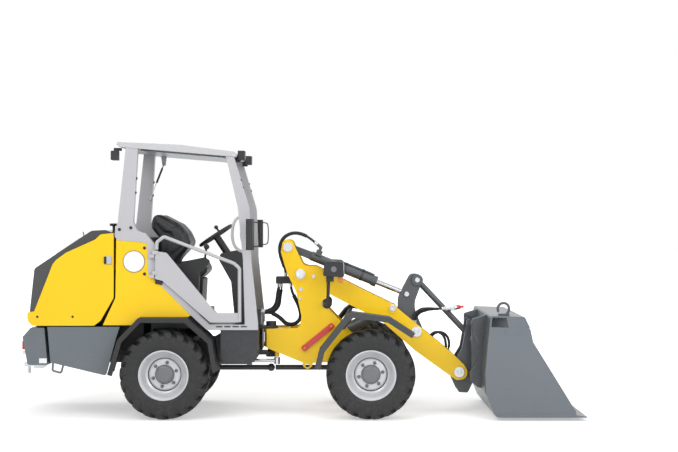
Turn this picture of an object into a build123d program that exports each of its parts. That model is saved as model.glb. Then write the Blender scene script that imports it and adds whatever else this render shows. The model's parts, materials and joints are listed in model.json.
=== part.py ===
from build123d import *

import math
import os

# Compact articulated wheel loader. Millimetres, X forward, Y left, Z up.
# While modelling, x = 0 is the articulation pivot and z = 0 the floor.

WHEELBASE = 1750.0
TRACK = 966.0
TAIL_BEHIND_AXLE = 1340.0
FRONT_REACH = 2691.0

TYRE_RADIUS = 380.0
TYRE_HALF = 132.0
BEAD_RADIUS = 200.0
RIM_FLANGE = 213.0
LUGS = 20
AXLE_Z = 380.0
REAR_X = -WHEELBASE / 2.0
FRONT_X = WHEELBASE / 2.0
HALF_TRACK = TRACK / 2.0
RIDE = REAR_X + 875.0
NOSE_RIDE = FRONT_X - 875.0
REAR_REACH = TAIL_BEHIND_AXLE - REAR_X
ORIGIN_SHIFT = (REAR_REACH - FRONT_REACH) / 2.0

RUN = 0.3
BODY_HALF = 500.0
BUCKET_HALF = 625.0

# Linkage points (x, z)
BOOM_P = (266.0, 1219.0)
TILT_T = (156.0, 1455.0)
LEVER_Q = (1285.0, 712.0)
LEVER_M = (1205.0, 1036.0)
LEVER_N = (1298.0, 1162.0)
LINK_L = (1785.0, 645.0)
HITCH_E = (1662.0, 357.0)
LIFT_B = (250.0, 520.0)
LIFT_R = (1076.0, 913.0)
STEER_A = (-560.0, -150.0)
STEER_F = (60.0, -130.0)
STEER_Z = 455.0
HOOD_AT = (-1990.0, 800.0)
HOOD_HINGE = (HOOD_AT[0] + RIDE, HOOD_AT[1])
LASHING = (329.0, 418.0)
LASHING_R = 18.0
GATE_AT = (-971.0, -BODY_HALF - 24.0)
GATE_HINGE = (GATE_AT[0] + RIDE, GATE_AT[1])
WHEEL_AT = (-493.0, 1555.0)
WHEEL_CENTRE = (WHEEL_AT[0] + RIDE, WHEEL_AT[1])
COLUMN_DIR = (-0.549, 0.836)

PLATE_OUT = 190.0
PLATE_IN = 165.0
BOOM_OUT = 155.0
BOOM_IN = 125.0
LEVER_OUT = 65.0
LEVER_IN = 45.0
EYE_HALF = 40.0


def rounded(points):
    """Face in local XY from points (u, v) or (u, v, radius)."""
    pts = [Vector(p[0], p[1], 0) for p in points]
    radii = [p[2] if len(p) > 2 else 0.0 for p in points]
    count = len(pts)
    ins = []
    for i in range(count):
        here, back, ahead = pts[i], pts[i - 1], pts[(i + 1) % count]
        if radii[i] <= 0:
            ins.append((here, None, here))
            continue
        a = (back - here).normalized()
        b = (ahead - here).normalized()
        angle = math.acos(max(-1.0, min(1.0, a.dot(b))))
        reach = radii[i] / math.tan(angle / 2)
        start = here + a * reach
        end = here + b * reach
        bis = (a + b).normalized()
        depth = radii[i] / math.sin(angle / 2) - radii[i]
        ins.append((start, here + bis * depth, end))
    edges = []
    for i in range(count):
        start, mid, end = ins[i]
        if mid is not None:
            edges.append(ThreePointArc(start, mid, end))
        ahead = ins[(i + 1) % count][0]
        if (ahead - end).dot(pts[(i + 1) % count] - pts[i]) < -1e-6:
            raise ValueError(f"corner radii overlap after point {points[i]}")
        if (ahead - end).length > 1e-6:
            edges.append(Line(end, ahead))
    return make_face(edges)


def slab_y(points, y0, y1):
    """Side outline (x, z) run from y0 to y1."""
    plane = Plane(origin=(0, y1, 0), x_dir=(1, 0, 0), z_dir=(0, -1, 0))
    return extrude(plane * rounded(points), y1 - y0)


def slab_x(points, x0, x1):
    """Cross outline (y, z) run from x0 to x1."""
    plane = Plane(origin=(x0, 0, 0), x_dir=(0, 1, 0), z_dir=(1, 0, 0))
    return extrude(plane * rounded(points), x1 - x0)


def slab_z(points, z0, z1):
    """Plan outline (x, y) run from z0 to z1."""
    return extrude(Plane.XY.offset(z0) * rounded(points), z1 - z0)


def block(x0, x1, y0, y1, z0, z1):
    return Pos((x0 + x1) / 2, (y0 + y1) / 2, (z0 + z1) / 2) * Box(x1 - x0, y1 - y0, z1 - z0)


def rod(p, q, r):
    """Round bar between two points."""
    a, b = Vector(*p), Vector(*q)
    plane = Plane(origin=a, z_dir=(b - a).normalized())
    return extrude(plane * Circle(r), (b - a).length)


def pin_y(c, r, y0, y1):
    """Round bar along Y at side-view point c."""
    return rod((c[0], y0, c[1]), (c[0], y1, c[1]), r)


def pin_z(c, r, z0, z1):
    """Upright round bar at plan point c."""
    return rod((c[0], c[1], z0), (c[0], c[1], z1), r)


def both(make):
    """Right-hand piece (y < 0) and its mirror image."""
    right = make
    return [right, mirror(right, about=Plane.XZ)]


def polar(c, p, along, across=0.0):
    """Point at a distance from c toward p, and across to its left."""
    dx, dz = p[0] - c[0], p[1] - c[1]
    size = math.hypot(dx, dz)
    ux, uz = dx / size, dz / size
    return (c[0] + ux * along - uz * across, c[1] + uz * along + ux * across)


def span(c, p):
    return math.hypot(p[0] - c[0], p[1] - c[1])


def tube(points, r, bend):
    """Bent round tube through 3-D points."""
    path = FilletPolyline(*[Vector(*p) for p in points], radius=bend)
    start = path @ 0
    plane = Plane(origin=start, z_dir=path % 0)
    return sweep(plane * Circle(r), path=path)


def hose(points, d):
    """Flexible hose: round tube through 3-D points, each bend as large as its runs allow."""
    stops = [Vector(*p) for p in points]
    radii = []
    for a, b, c in zip(stops, stops[1:], stops[2:]):
        half = math.radians((b - a).get_angle(c - b)) / 2.0
        radii.append(0.45 * min((b - a).length, (c - b).length) / math.tan(half))
    path = FilletPolyline(*stops, radius=radii)
    body = sweep(Plane(origin=path @ 0, z_dir=path % 0) * Circle(d / 2.0), path=path)
    full = math.pi * d * d / 4.0 * path.length
    print(f"hose d {d:.0f} length {path.length:.0f} least radius {min(radii):.0f} "
          f"volume ratio {body.volume / full:.4f}")
    return body


def band(points, thick):
    """Closed outline of a strip that lies to the right of a path of (x, z)."""
    inner = []
    for i, p in enumerate(points):
        normals = []
        for a, b in ((i - 1, i), (i, i + 1)):
            if a >= 0 and b < len(points):
                dx = points[b][0] - points[a][0]
                dz = points[b][1] - points[a][1]
                size = math.hypot(dx, dz)
                normals.append((dz / size, -dx / size))
        nx = sum(n[0] for n in normals) / len(normals)
        nz = sum(n[1] for n in normals) / len(normals)
        scale = thick / (nx * nx + nz * nz)
        inner.append((p[0] + nx * scale, p[1] + nz * scale))
    return list(points) + inner[::-1]


def cylinder_pair(a, b, eye_a, eye_b, bore_a, barrel_r, rod_r, barrel_len, rod_len, travel_in, half, arm=0):
    """Barrel and rod in the XZ plane between side-view points a and b."""
    size = span(a, b)
    axis_a = (a[0], 0, a[1])

    def at(d):
        q = polar(a, b, d)
        return (q[0], 0, q[1])

    if arm:
        neck = [polar(a, b, 0, 30), polar(a, b, 0, -30), polar(a, b, arm + 6, 6 - barrel_r),
                polar(a, b, arm + 6, barrel_r - 6)]
        barrel = slab_y(neck, -22, 22) + rod(at(arm - 20), at(barrel_len), barrel_r)
    else:
        barrel = rod(at(eye_a * 0.6), at(barrel_len), barrel_r)
    barrel += pin_y(a, eye_a, -half, half)
    barrel += rod(at(barrel_len - 45), at(barrel_len), barrel_r + 7)
    barrel -= rod(at(size - rod_len - travel_in - 15), at(barrel_len + 5), rod_r + 0.4)
    barrel -= pin_y(a, bore_a + RUN, -half - 5, half + 5)
    ram = rod(at(size - rod_len), at(size - eye_b * 0.6), rod_r)
    ram += pin_y(b, eye_b, -half, half)
    ram -= pin_y(b, eye_b * 0.5, -half - 5, half + 5)
    return barrel, ram


def rod_space(a, b, r):
    """Round space along the line from a to b."""
    return rod((a[0], 0, a[1]), (b[0], 0, b[1]), r)


# Wheels

def lugged_tyre(hand):
    """Tyre about the Y axis at the origin; hand turns the lugs' slant."""
    cells = 2 * LUGS
    step = 2 * math.pi / cells
    base_c, base_s = 352.0, 346.0
    top_c, top_s = TYRE_RADIUS, 372.0
    y_c, y_s = 10.0, TYRE_HALF - 2.0
    ring_y = (TYRE_HALF - 2.0, TYRE_HALF, 114.0, 114.0)
    ring_r = (322.0, 282.0, 222.0, BEAD_RADIUS)
    skew = 2.4

    def pt(radius, y, k, side):
        lean = skew * (1.0 - abs(y) / TYRE_HALF)
        angle = (k + lean + (1.0 if side < 0 else 0.0)) * step * hand
        return Vector(radius * math.sin(angle), y, radius * math.cos(angle))

    quads = []
    for side in (1, -1):
        for k in range(cells):
            raised = k % 2 == 0
            yc, ys = y_c * side, y_s * side
            in_c = top_c if raised else base_c
            in_s = top_s if raised else base_s
            quads.append([pt(in_c, yc, k, side), pt(in_c, yc, k + 1, side),
                          pt(in_s, ys, k + 1, side), pt(in_s, ys, k, side)])
            if raised:
                quads.append([pt(base_c, yc, k, side), pt(base_c, yc, k + 1, side),
                              pt(top_c, yc, k + 1, side), pt(top_c, yc, k, side)])
                for e in (k, k + 1):
                    quads.append([pt(base_c, yc, e, side), pt(top_c, yc, e, side),
                                  pt(top_s, ys, e, side), pt(base_s, ys, e, side)])
                quads.append([pt(base_s, ys, k, side), pt(top_s, ys, k, side),
                              pt(top_s, ys, k + 1, side), pt(base_s, ys, k + 1, side)])
            rows = [(base_s, ys)] + [(r, y * side) for r, y in zip(ring_r, ring_y)]
            for (r0, y0), (r1, y1) in zip(rows, rows[1:]):
                quads.append([pt0(r0, y0, k, side, pt), pt0(r0, y0, k + 1, side, pt),
                              pt0(r1, y1, k + 1, side, pt), pt0(r1, y1, k, side, pt)])
    for k in range(cells):
        quads.append([pt(base_c, y_c, k + 1, 1), pt(base_c, y_c, k + 2, 1),
                      pt(base_c, -y_c, k + 1, -1), pt(base_c, -y_c, k, -1)])
        quads.append([pt0(BEAD_RADIUS, 114.0, k + 1, 1, pt), pt0(BEAD_RADIUS, 114.0, k + 2, 1, pt),
                      pt0(BEAD_RADIUS, -114.0, k + 1, -1, pt), pt0(BEAD_RADIUS, -114.0, k, -1, pt)])
    faces = []
    for a, b, c, d in quads:
        faces.append(Face(Wire.make_polygon([a, b, c], close=True)))
        faces.append(Face(Wire.make_polygon([a, c, d], close=True)))
    return Solid(Shell(faces))


def pt0(radius, y, k, side, pt):
    """Point on a sidewall ring, in line with the lug's outer end."""
    edge = pt(1.0, (TYRE_HALF - 2.0) * side, k, side)
    return Vector(edge.X * radius, y, edge.Z * radius)


def wheel_rim():
    """Rim, disc and hub about the Y axis, outer face toward +Y."""
    outline = [(26, 0), (26, 70), (18, 78), (0, 78), (0, 150), (16, 166), (44, 168), (60, 188),
               (106, 191), (121, 206), (121, RIM_FLANGE), (114.6, RIM_FLANGE), (114.6, 199),
               (64, 199), (50, 178), (-50, 178), (-64, 199), (-114.6, 199), (-114.6, RIM_FLANGE),
               (-121, RIM_FLANGE), (-121, 206), (-106, 191), (-60, 188), (-44, 168), (-14, 166),
               (-14, 95), (-140, 95), (-140, 40 + RUN), (-20, 40 + RUN), (-20, 0)]
    plane = Plane(origin=(0, 0, 0), x_dir=(0, 1, 0), z_dir=(1, 0, 0))
    return revolve(plane * rounded(outline), Axis.Y)


def wheels(nodes):
    right = lugged_tyre(1)
    left = lugged_tyre(-1)
    rim = wheel_rim()
    turned = Rot(0, 0, 180) * rim
    for tag, x in (("r", REAR_X), ("f", FRONT_X)):
        nodes[f"tyre_{tag}l"] = Pos(x, HALF_TRACK, AXLE_Z) * left
        nodes[f"tyre_{tag}r"] = Pos(x, -HALF_TRACK, AXLE_Z) * right
        nodes[f"rim_{tag}l"] = Pos(x, HALF_TRACK, AXLE_Z) * rim
        nodes[f"rim_{tag}r"] = Pos(x, -HALF_TRACK, AXLE_Z) * turned


def axle(x, pad_half, pad_y, pad_top, shaft_end):
    """Axle housing with end flanges, spindles, mounting pads and its half of the drive shaft."""
    c = (x, AXLE_Z)
    body = pin_y(c, 58, -310, 310)
    body += pin_y(c, 118, -95, 95)
    body += rod((x - 150, 0, AXLE_Z), (x + 150, 0, AXLE_Z), 62)
    body += rod((x, 0, AXLE_Z), (shaft_end, 0, AXLE_Z), 22)
    for s in (1, -1):
        body += pin_y(c, 112, *sorted((300 * s, 342 * s)))
        body += pin_y(c, 40, *sorted((300 * s, 461 * s)))
        body += block(x - pad_half, x + pad_half, *sorted(((pad_y - 26) * s, (pad_y + 26) * s)),
                      AXLE_Z, pad_top)
    return body


# Rear frame

def rear_chassis():
    rails = []
    for s in (1, -1):
        y0, y1 = sorted((200 * s, 225 * s))
        rails.append(slab_y([(-1950 + RIDE, 640), (-1950 + RIDE, 470), (-1900 + RIDE, 450), (-300, 450),
                             (-200, 560),
                             (-200, 700), (-420, 700), (-520, 640)], y0, y1))
    body = rails[0] + rails[1]
    body += block(-230, -200, -225, 225, 560, 700)
    body += block(-1730 + RIDE, -1670 + RIDE, -225, 225, 500, 560)
    body += block(-1330 + RIDE, -1270 + RIDE, -225, 225, 500, 560)
    body += block(-700, -640, -225, 225, 560, 640)
    body += block(-1950 + RIDE, -1925 + RIDE, -225, 225, 480, 640)
    arm = [(-260, -75), (-20, -75, 30), (62, -40, 40), (62, 40, 40), (-20, 75, 30), (-260, 75)]
    body += slab_z(arm, 733, 753) + slab_z(arm, 500, 530)
    body += block(-260, -200, -75, 75, 500, 753)
    body += pin_z((0, 0), 46, 753, 792) + pin_z((0, 0), 46, 478, 500)
    body += pin_z((0, 0), 30, 480, 790)
    for y0, y1 in ((20 - BODY_HALF, -224), (224, BODY_HALF - 20)):
        body += slab_y([(-405 + RIDE, 755), (-405 + RIDE, 520), (-380 + RIDE, 480), (-120 + RIDE, 480),
                        (-90 + RIDE, 520), (-90 + RIDE, 755)], y0, y1)
    body += block(-600, -520, -205, -110, STEER_Z + 37, STEER_Z + 55)
    body += block(-600, -520, -205, -110, STEER_Z - 55, STEER_Z - 37)
    body += block(-600, -520, -225, -200, STEER_Z - 55, 460)
    body += pin_z(STEER_A, 14, STEER_Z - 55, STEER_Z + 55)
    return body


def counterweight():
    outline = [(-2023, 773), (-2092, 695), (-2049, 455, 25), (-1880, 455), (-1907, 773)]
    body = slab_y(outline, 20 - BODY_HALF, BODY_HALF - 20)
    body -= block(-1950, -1800, -300, 300, 400, 800)
    for s in (1, -1):
        for y in (240, 300):
            y0, y1 = sorted(((y - 10) * s, (y + 10) * s))
            body += slab_y([(-2015, 765), (-2012, 812, 10), (-1968, 812, 10), (-1965, 765)], y0, y1)
        y0, y1 = sorted((235 * s, 305 * s))
        body += pin_y(HOOD_AT, 9, y0, y1)
    return body


def tow_hitch(weight):
    body = block(-2100, -2000, -70, 70, 380, 560)
    body += slab_z([(-2215, -45, 40), (-2215, 45, 40), (-2080, 70), (-2080, -70)], 500, 528)
    body += slab_z([(-2200, -45, 40), (-2200, 45, 40), (-2080, 70), (-2080, -70)], 395, 423)
    body += pin_z((-2160, 0), 15, 330, 585)
    body += pin_z((-2160, 0), 24, 528, 548)
    body -= weight
    body -= block(-2020, -1900, -100, 100, 300, 600)
    return body


def tail_lamps(weight):
    lamp = block(-2102, -2040, 45 - BODY_HALF, 125 - BODY_HALF, 585, 660)
    lamp -= weight
    return both(lamp)


def lower_panels():
    panel = slab_y([(-1878, 782), (-1852, 478), (-1380, 366, 20), (-1292, 690), (-1262, 782)],
                   10 - BODY_HALF, 30 - BODY_HALF)
    panel += block(-1800, -1440, 29 - BODY_HALF, -225, 490, 770)
    y = 20 - BODY_HALF
    panel += tube([(-1830, y, 500), (-1836, y, 408), (-1762, y, 388), (-1738, y, 480)], 9, 16)
    return both(panel)


def side_covers(frame):
    cover = slab_y([(-1290, 1521), (-1030, 1495), (-1020, 1240), (-655, 880), (-682, 866), (-1086, 866),
                    (-1160, 796), (-1405, 796), (-1297, 1028, 60)], 2 - BODY_HALF, 32 - BODY_HALF)
    cover -= frame
    return both(cover)


def rear_fenders():
    path = [(-1347, 387), (-1263, 681), (-1086, 866), (-682, 866), (-464, 673), (-421, 412)]
    out = -HALF_TRACK - 129
    guard = slab_y(band(path, 12), out, 160 - BODY_HALF)
    guard += slab_y(band(path, 42), out, out + 14)
    return both(guard)


def platform():
    half = BODY_HALF - 60
    deck = block(-545, -110, -half, half, 755, 785)
    deck += block(-135, -85, -95, 95, 760, 905)
    deck += block(-1000, -540, -338, 338, 755, 905)
    deck += block(-1000, -684, -half, half, 866.3, 905)
    deck += block(-1020, -1000, -half, half, 866.3, 1500)
    deck += block(-1020, -1000, -338, 338, 700, 900)
    deck += block(-1296, -1000, -half, half, 1500, 1540)
    deck += block(-1020, -800, -224, -200, 640, 760)
    deck += block(-1020, -800, 200, 224, 640, 760)
    return deck


def canopy_sides(roof):
    outline = [(-1300, 1541), (-1300, 1602), (-1277, 1674), (-1208, 2312), (-1106, 2312), (-1145, 1674),
               (-1110, 1600, 20), (-1040, 1575, 40), (-960, 1480, 40), (-960, 1258), (-500, 800),
               (-196, 800),
               (-212, 1351, 150), (-255, 1793, 120), (-357, 2233), (-289, 2228), (-161, 1793, 120),
               (-144, 1351, 150), (-85, 797), (-85, 755), (-519, 755), (-655, 881), (-1020, 1241),
               (-1030, 1496), (-1290, 1522), (-1290, 1541)]
    side = slab_y(outline, -BODY_HALF, 60 - BODY_HALF) - roof
    for z in (1200, 1372):
        side += block(-1005, -962, -BODY_HALF - 36, 5 - BODY_HALF, z, z + 26)
        side += pin_z(GATE_AT, 8, z, z + 60)
    left = slab_y(outline, BODY_HALF - 60, BODY_HALF) - roof
    return [side, left]


def canopy_roof():
    outline = [(-1262, 2312), (-1290, 2335, 12), (-1277, 2355, 12), (-749, 2332, 900), (-285, 2272, 12),
               (-262, 2250, 10), (-272, 2228)]
    roof = slab_y(outline, -BODY_HALF - 5, BODY_HALF + 5)
    return roof


def seat_parts(nodes):
    nodes["seat_base"] = slab_y([(-880, 905), (-600, 905), (-585, 1180, 20), (-880, 1180)], -190, 190)
    nodes["seat_cushion"] = slab_y([(-880, 1180), (-880, 1320, 20), (-760, 1330), (-560, 1335, 40),
                                    (-520, 1250, 40),
                                    (-585, 1180)], -245, 245)
    nodes["seat_backrest"] = slab_y([(-880.2, 1215), (-960, 1215, 15), (-988, 1545, 20), (-1042, 1620, 40),
                                     (-1046, 1730, 30), (-990, 1762, 30), (-790, 1660, 80),
                                     (-735, 1600, 60),
                                     (-672, 1492, 20), (-720, 1440, 30), (-800, 1345), (-880.2, 1345)],
                                     -235, 235)


def dash_console():
    body = slab_y([(-310, 785), (-205, 785), (-205, 1380, 20), (-300, 1425, 30), (-440, 1400, 30),
                   (-452, 1340, 30),
                   (-345, 1150, 60)], -150, 150)
    tip = (WHEEL_AT[0] - COLUMN_DIR[0] * 20.2, WHEEL_AT[1] - COLUMN_DIR[1] * 20.2)
    foot = (WHEEL_AT[0] - COLUMN_DIR[0] * 250, WHEEL_AT[1] - COLUMN_DIR[1] * 250)
    body += rod((foot[0], 0, foot[1]), (tip[0], 0, tip[1]), 32)
    return body


def control_console():
    body = slab_y([(-760, 905), (-620, 905), (-600, 1240, 20), (-500, 1330, 30), (-560, 1370, 30),
                   (-760, 1330, 30)], -350, -260)
    body += rod((-560, -305, 1330), (-545, -305, 1450), 10)
    body += Pos(-543, -305, 1460) * Sphere(24)
    return body


def mirrors():
    y = -BODY_HALF
    head = slab_z([(-178, y - 60, 12), (-108, y - 60, 25), (-118, y - 215, 25), (-172, y - 215, 12)],
                  1439, 1699)
    head += tube([(-170, y, 1560), (-145, y - 60, 1560), (-140, y - 140, 1570)], 10, 12)
    head -= block(-400, 100, y, -y, 1400, 1800)
    return both(head)


def work_lamps(roof):
    front = block(-262, -205, -440, -340, 2205, 2285)
    front += block(-290, -240, -400, -380, 2190, 2240)
    rear = block(-1345, -1291, -440, -340, 2205, 2285)
    rear += block(-1330, -1262, -400, -380, 2285, 2311)
    front -= roof
    rear -= roof
    return both(front) + both(rear)


def engine_hood():
    outer = [(-2006, 792), (-2036, 822, 8), (-2046, 850), (-2046, 905, 10), (-1988, 912), (-1830, 1317),
             (-1802, 1351, 30),
             (-1717, 1413, 40), (-1466, 1526, 40), (-1423, 1569, 40), (-1316, 1580), (-1312, 1545),
             (-1313, 1028, 60),
             (-1425, 832, 60), (-1480, 792)]
    inner = [(-1985, 770), (-1990, 837), (-1945, 934), (-1805, 1310), (-1782, 1333, 20), (-1705, 1390, 30),
             (-1450, 1500, 30), (-1410, 1545, 30), (-1290, 1556), (-1290, 1000), (-1400, 820), (-1480, 770)]
    hood = slab_y(outer, -BODY_HALF, BODY_HALF) - slab_y(inner, 22 - BODY_HALF, BODY_HALF - 22)
    for s in (1, -1):
        y0, y1 = sorted((252 * s, 288 * s))
        lug = pin_y(HOOD_AT, 24, y0, y1) + block(-2000, -1960, y0, y1, 800, 850)
        hood += lug
        hood -= pin_y(HOOD_AT, 9 + RUN, y0 - 1, y1 + 1)
        slot0, slot1 = sorted((222 * s, 318 * s))
        hood -= block(-2030, -1950, slot0, slot0 + 30, 760, 830)
        hood -= block(-2030, -1950, slot1 - 30, slot1, 760, 830)
    return hood


def hood_grille(hood_outline_cut):
    outer = [(-2046, 906), (-2006, 1276, 40), (-1648, 1515, 60), (-1516, 1600, 60), (-1400, 1606, 40),
             (-1330, 1582), (-1330, 1500), (-1500, 1400), (-1800, 1200), (-1900, 906)]
    body = slab_y(outer, 80 - BODY_HALF, BODY_HALF - 80)
    return body - hood_outline_cut


def hood_blank():
    outer = [(-2006, 792), (-2036, 822, 8), (-2046, 850), (-2046, 905, 10), (-1988, 912), (-1830, 1317),
             (-1802, 1351, 30),
             (-1717, 1413, 40), (-1466, 1526, 40), (-1423, 1569, 40), (-1316, 1580), (-1200, 1580),
             (-1200, 700),
             (-1900, 700)]
    return slab_y(outer, -BODY_HALF - 100, BODY_HALF + 100)


def side_gate():
    y = -BODY_HALF - 22
    path = [(-944, y, 1440), (-940, y, 1503), (-881, y, 1549), (-285, y, 1322), (-240, y, 1280),
            (-238, y, 826)]
    loop = tube(path, 15, 24)
    plate = slab_y([(-955, 1455, 12), (-932, 1424), (-858, 1413, 30), (-438, 902, 30), (-240, 902),
                    (-240, 822),
                    (-489, 822, 20), (-892, 1175, 20), (-955, 1190, 12)], y - 6, y + 6)
    body = loop + plate
    for z in (1228, 1400):
        body += pin_z(GATE_AT, 14, z, z + 30)
        body += block(-971, -930, y - 12, y + 8, z, z + 30)
        body -= pin_z(GATE_AT, 8 + RUN, z - 1, z + 31)
    return body


def steering_wheel():
    c = Vector(WHEEL_AT[0], 0, WHEEL_AT[1])
    plane = Plane(origin=c, x_dir=(0, 1, 0), z_dir=(COLUMN_DIR[0], 0, COLUMN_DIR[1]))
    ring = Torus(160, 14)
    body = ring
    body += Pos(0, 0, 0) * Cylinder(38, 40)
    for a in (90, 210, 330):
        body += Rot(0, 0, a) * (Pos(90, 0, 0) * Box(150, 26, 10))
    body += Rot(0, 0, 200) * (Pos(160, 0, 26) * Cylinder(9, 40))
    body += Rot(0, 0, 200) * (Pos(160, 0, 52) * Sphere(18))
    return plane * body


# Front frame

def front_chassis():
    outline = [(-30, 738), (258, 746, 40), (276, 850, 60), (228, 1067, 200), (150, 1225, 200),
               (94, 1412, 60),
               (112, 1521, 48), (190, 1521, 48), (289, 1306, 40), (350, 1283, 30), (430, 1271, 40),
               (491, 1192, 40), (500, 930, 60), (760, 660, 60),
               (1040, 580, 30), (1040, 450), (560, 450), (305, 436, 60), (-30, 572)]
    body = None
    for s in (1, -1):
        y0, y1 = sorted((PLATE_IN * s, PLATE_OUT * s))
        side = slab_y(outline, y0, y1)
        side += pin_y(BOOM_P, 62, *sorted((PLATE_IN * s, (PLATE_OUT + 8) * s)))
        side += slab_y([(280, 480), (290, 410, 24), (329, 382, 24), (370, 410, 24), (380, 480)], y0, y1)
        side -= pin_y(LASHING, LASHING_R, *sorted(((PLATE_IN - 5) * s, (PLATE_OUT + 5) * s)))
        body = side if body is None else body + side
    lug = [(-30, -PLATE_OUT), (150, -PLATE_OUT), (150, PLATE_OUT), (-30, PLATE_OUT), (-66, 40, 40),
           (-66, -40, 40)]
    body += slab_z(lug, 700, 728)
    body += slab_z(lug, 576, 604)
    body += pin_z((0, 0), 58, 576, 728)
    body += block(150, 175, -PLATE_OUT, PLATE_OUT, 536, 735)
    body += block(330, 1040, -PLATE_OUT, PLATE_OUT, 450, 470)
    body += block(1015, 1040, -PLATE_OUT, PLATE_OUT, 450, 575)
    body += slab_y([(283, 900), (246, 1070), (200, 1150), (178, 1186), (193, 1193), (217, 1157),
                    (264, 1077),
                    (301, 900)], -PLATE_OUT, PLATE_OUT)
    body -= pin_z((0, 0), 30 + RUN, 500, 800)
    body += pin_y(BOOM_P, 35, -PLATE_OUT, PLATE_OUT)
    body += pin_y(LIFT_B, 28, -PLATE_OUT, PLATE_OUT)
    body += pin_z(STEER_F, 20, STEER_Z + 36, 577)
    body -= pin_y(TILT_T, 25 + RUN, -300, 300)
    body -= pin_y((FRONT_X, AXLE_Z), 126, -105, 105)
    return body


def front_fenders():
    path = [(400, 440), (440, 600), (655, 872), (714, 916), (1034, 872), (1245, 735)]
    out = -HALF_TRACK - 129
    guard = slab_y(band(path, 12), out, out + 172) + slab_y(band(path, 48), out, out + 14)
    guard += rod((640, -PLATE_OUT, 752), (712, -470, 872), 20)
    guard += rod((712, -470, 860), (712, -470, 908), 20)
    guard -= block(0, 1600, -PLATE_OUT, PLATE_OUT, 300, 900)
    return both(guard)


def headlamps():
    lamp = slab_y([(466, 1210, 15), (480, 1337, 30), (640, 1330, 20), (648, 1199, 15)], -400, -260)
    lamp += rod((518, -330, 1205), (504, -330, 945), 13)
    lamp += rod((505, -336, 962), (470, -PLATE_OUT, 962), 13)
    lamp += block(495, 560, -370, -290, 1160, 1220)
    lamp -= block(0, 1000, -PLATE_OUT, PLATE_OUT, 800, 1100)
    return both(lamp)


def lock_bar():
    a, b = (300, 570), (540, 766)
    q = [polar(a, b, -20, 24), polar(a, b, span(a, b) + 20, 24), polar(a, b, span(a, b) + 20, -24),
         polar(a, b, -20, -24)]
    bar = slab_y([(p[0], p[1], 16) for p in q], -212, -196)
    for c in (polar(a, b, 20), polar(a, b, span(a, b) - 40)):
        bar += pin_y(c, 18, -216, -PLATE_OUT)
    return bar


# Boom and linkage

def boom():
    outline = [(196, 1285, 60), (400, 1290, 60), (860, 1058, 300), (1079, 952, 120), (1600, 522, 40),
               (1702, 424, 20),
               (1735, 372, 60), (1728, 296, 60), (1640, 284, 30), (1598, 312, 40), (1272, 545, 200),
               (985, 800, 160),
               (600, 1000, 200), (330, 1146, 60), (196, 1160, 60)]
    body = None
    for s in (1, -1):
        y0, y1 = sorted((BOOM_IN * s, BOOM_OUT * s))
        side = slab_y(outline, y0, y1)
        side += pin_y(LIFT_R, 40, *sorted(((LEVER_OUT + 15) * s, (BOOM_OUT + 10) * s)))
        body = side if body is None else body + side
    body += pin_y(BOOM_P, 60, -BOOM_IN - 5, BOOM_IN + 5)
    body += pin_y((1420, 510), 50, -BOOM_IN - 5, BOOM_IN + 5)
    body += pin_y((640, 1060), 45, -BOOM_IN - 5, BOOM_IN + 5)
    body += pin_y((1566, 488), 20, -BOOM_IN - 5, BOOM_IN + 5)
    body += block(1386, 1426, -98, -28, 530, 566)
    body += block(1548, 1592, -98, -28, 485, 512)
    body -= pin_y(BOOM_P, 35 + RUN, -300, 300)
    body -= pin_y(LEVER_Q, 30 + RUN, -300, 300)
    body -= pin_y(HITCH_E, 30 + RUN, -300, 300)
    return body


def tilt_lever():
    outline = [(1215, 680, 50), (1128, 860, 120), (1132, 1010, 160), (1240, 1215, 45), (1335, 1215, 45),
               (1330, 1115, 80), (1262, 935, 200), (1348, 730, 50), (1300, 645, 50)]
    body = None
    for s in (1, -1):
        y0, y1 = sorted((LEVER_IN * s, LEVER_OUT * s))
        side = slab_y(outline, y0, y1)
        side += pin_y(LEVER_M, 30, *sorted((LEVER_IN * s, (LEVER_OUT + 8) * s)))
        body = side if body is None else body + side
    body += pin_y(LEVER_Q, 50, -BOOM_IN + 2, BOOM_IN - 2)
    body += block(1250, 1305, -118, -74, 740, 775)
    body -= pin_y(LEVER_Q, 30 + RUN, -200, 200)
    body -= pin_y(LEVER_N, 22 + RUN, -200, 200)
    return body


def tilt_link():
    size = span(LEVER_N, LINK_L)
    a = polar(LEVER_N, LINK_L, 25)
    b = polar(LEVER_N, LINK_L, size - 25)
    body = rod((a[0], 0, a[1]), (b[0], 0, b[1]), 26)
    body += pin_y(LEVER_N, 42, -EYE_HALF, EYE_HALF)
    body += pin_y(LINK_L, 42, -EYE_HALF, EYE_HALF)
    body -= pin_y(LEVER_N, 22 + RUN, -100, 100)
    body -= pin_y(LINK_L, 22, -100, 100)
    return body


def hose_couplers():
    c = polar(LEVER_N, LINK_L, 400, 42)
    foot = polar(LEVER_N, LINK_L, 400, 26.2)
    body = rod((foot[0], 0, foot[1]), (c[0], 0, c[1]), 14)
    body += rod((c[0], -150, c[1]), (c[0], 60, c[1]), 14)
    for y in (-135, -85):
        body += rod((c[0] - 60, y, c[1] + 14), (c[0] + 40, y, c[1] + 24), 18)
    return body


def headed_pin(c, r, face, head_r, head):
    """Pin whose two heads sit on the outer faces of its plates."""
    body = pin_y(c, r, -face - head, face + head)
    for s in (1, -1):
        body += pin_y(c, head_r, *sorted(((face + RUN) * s, (face + head) * s)))
    return body


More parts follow.
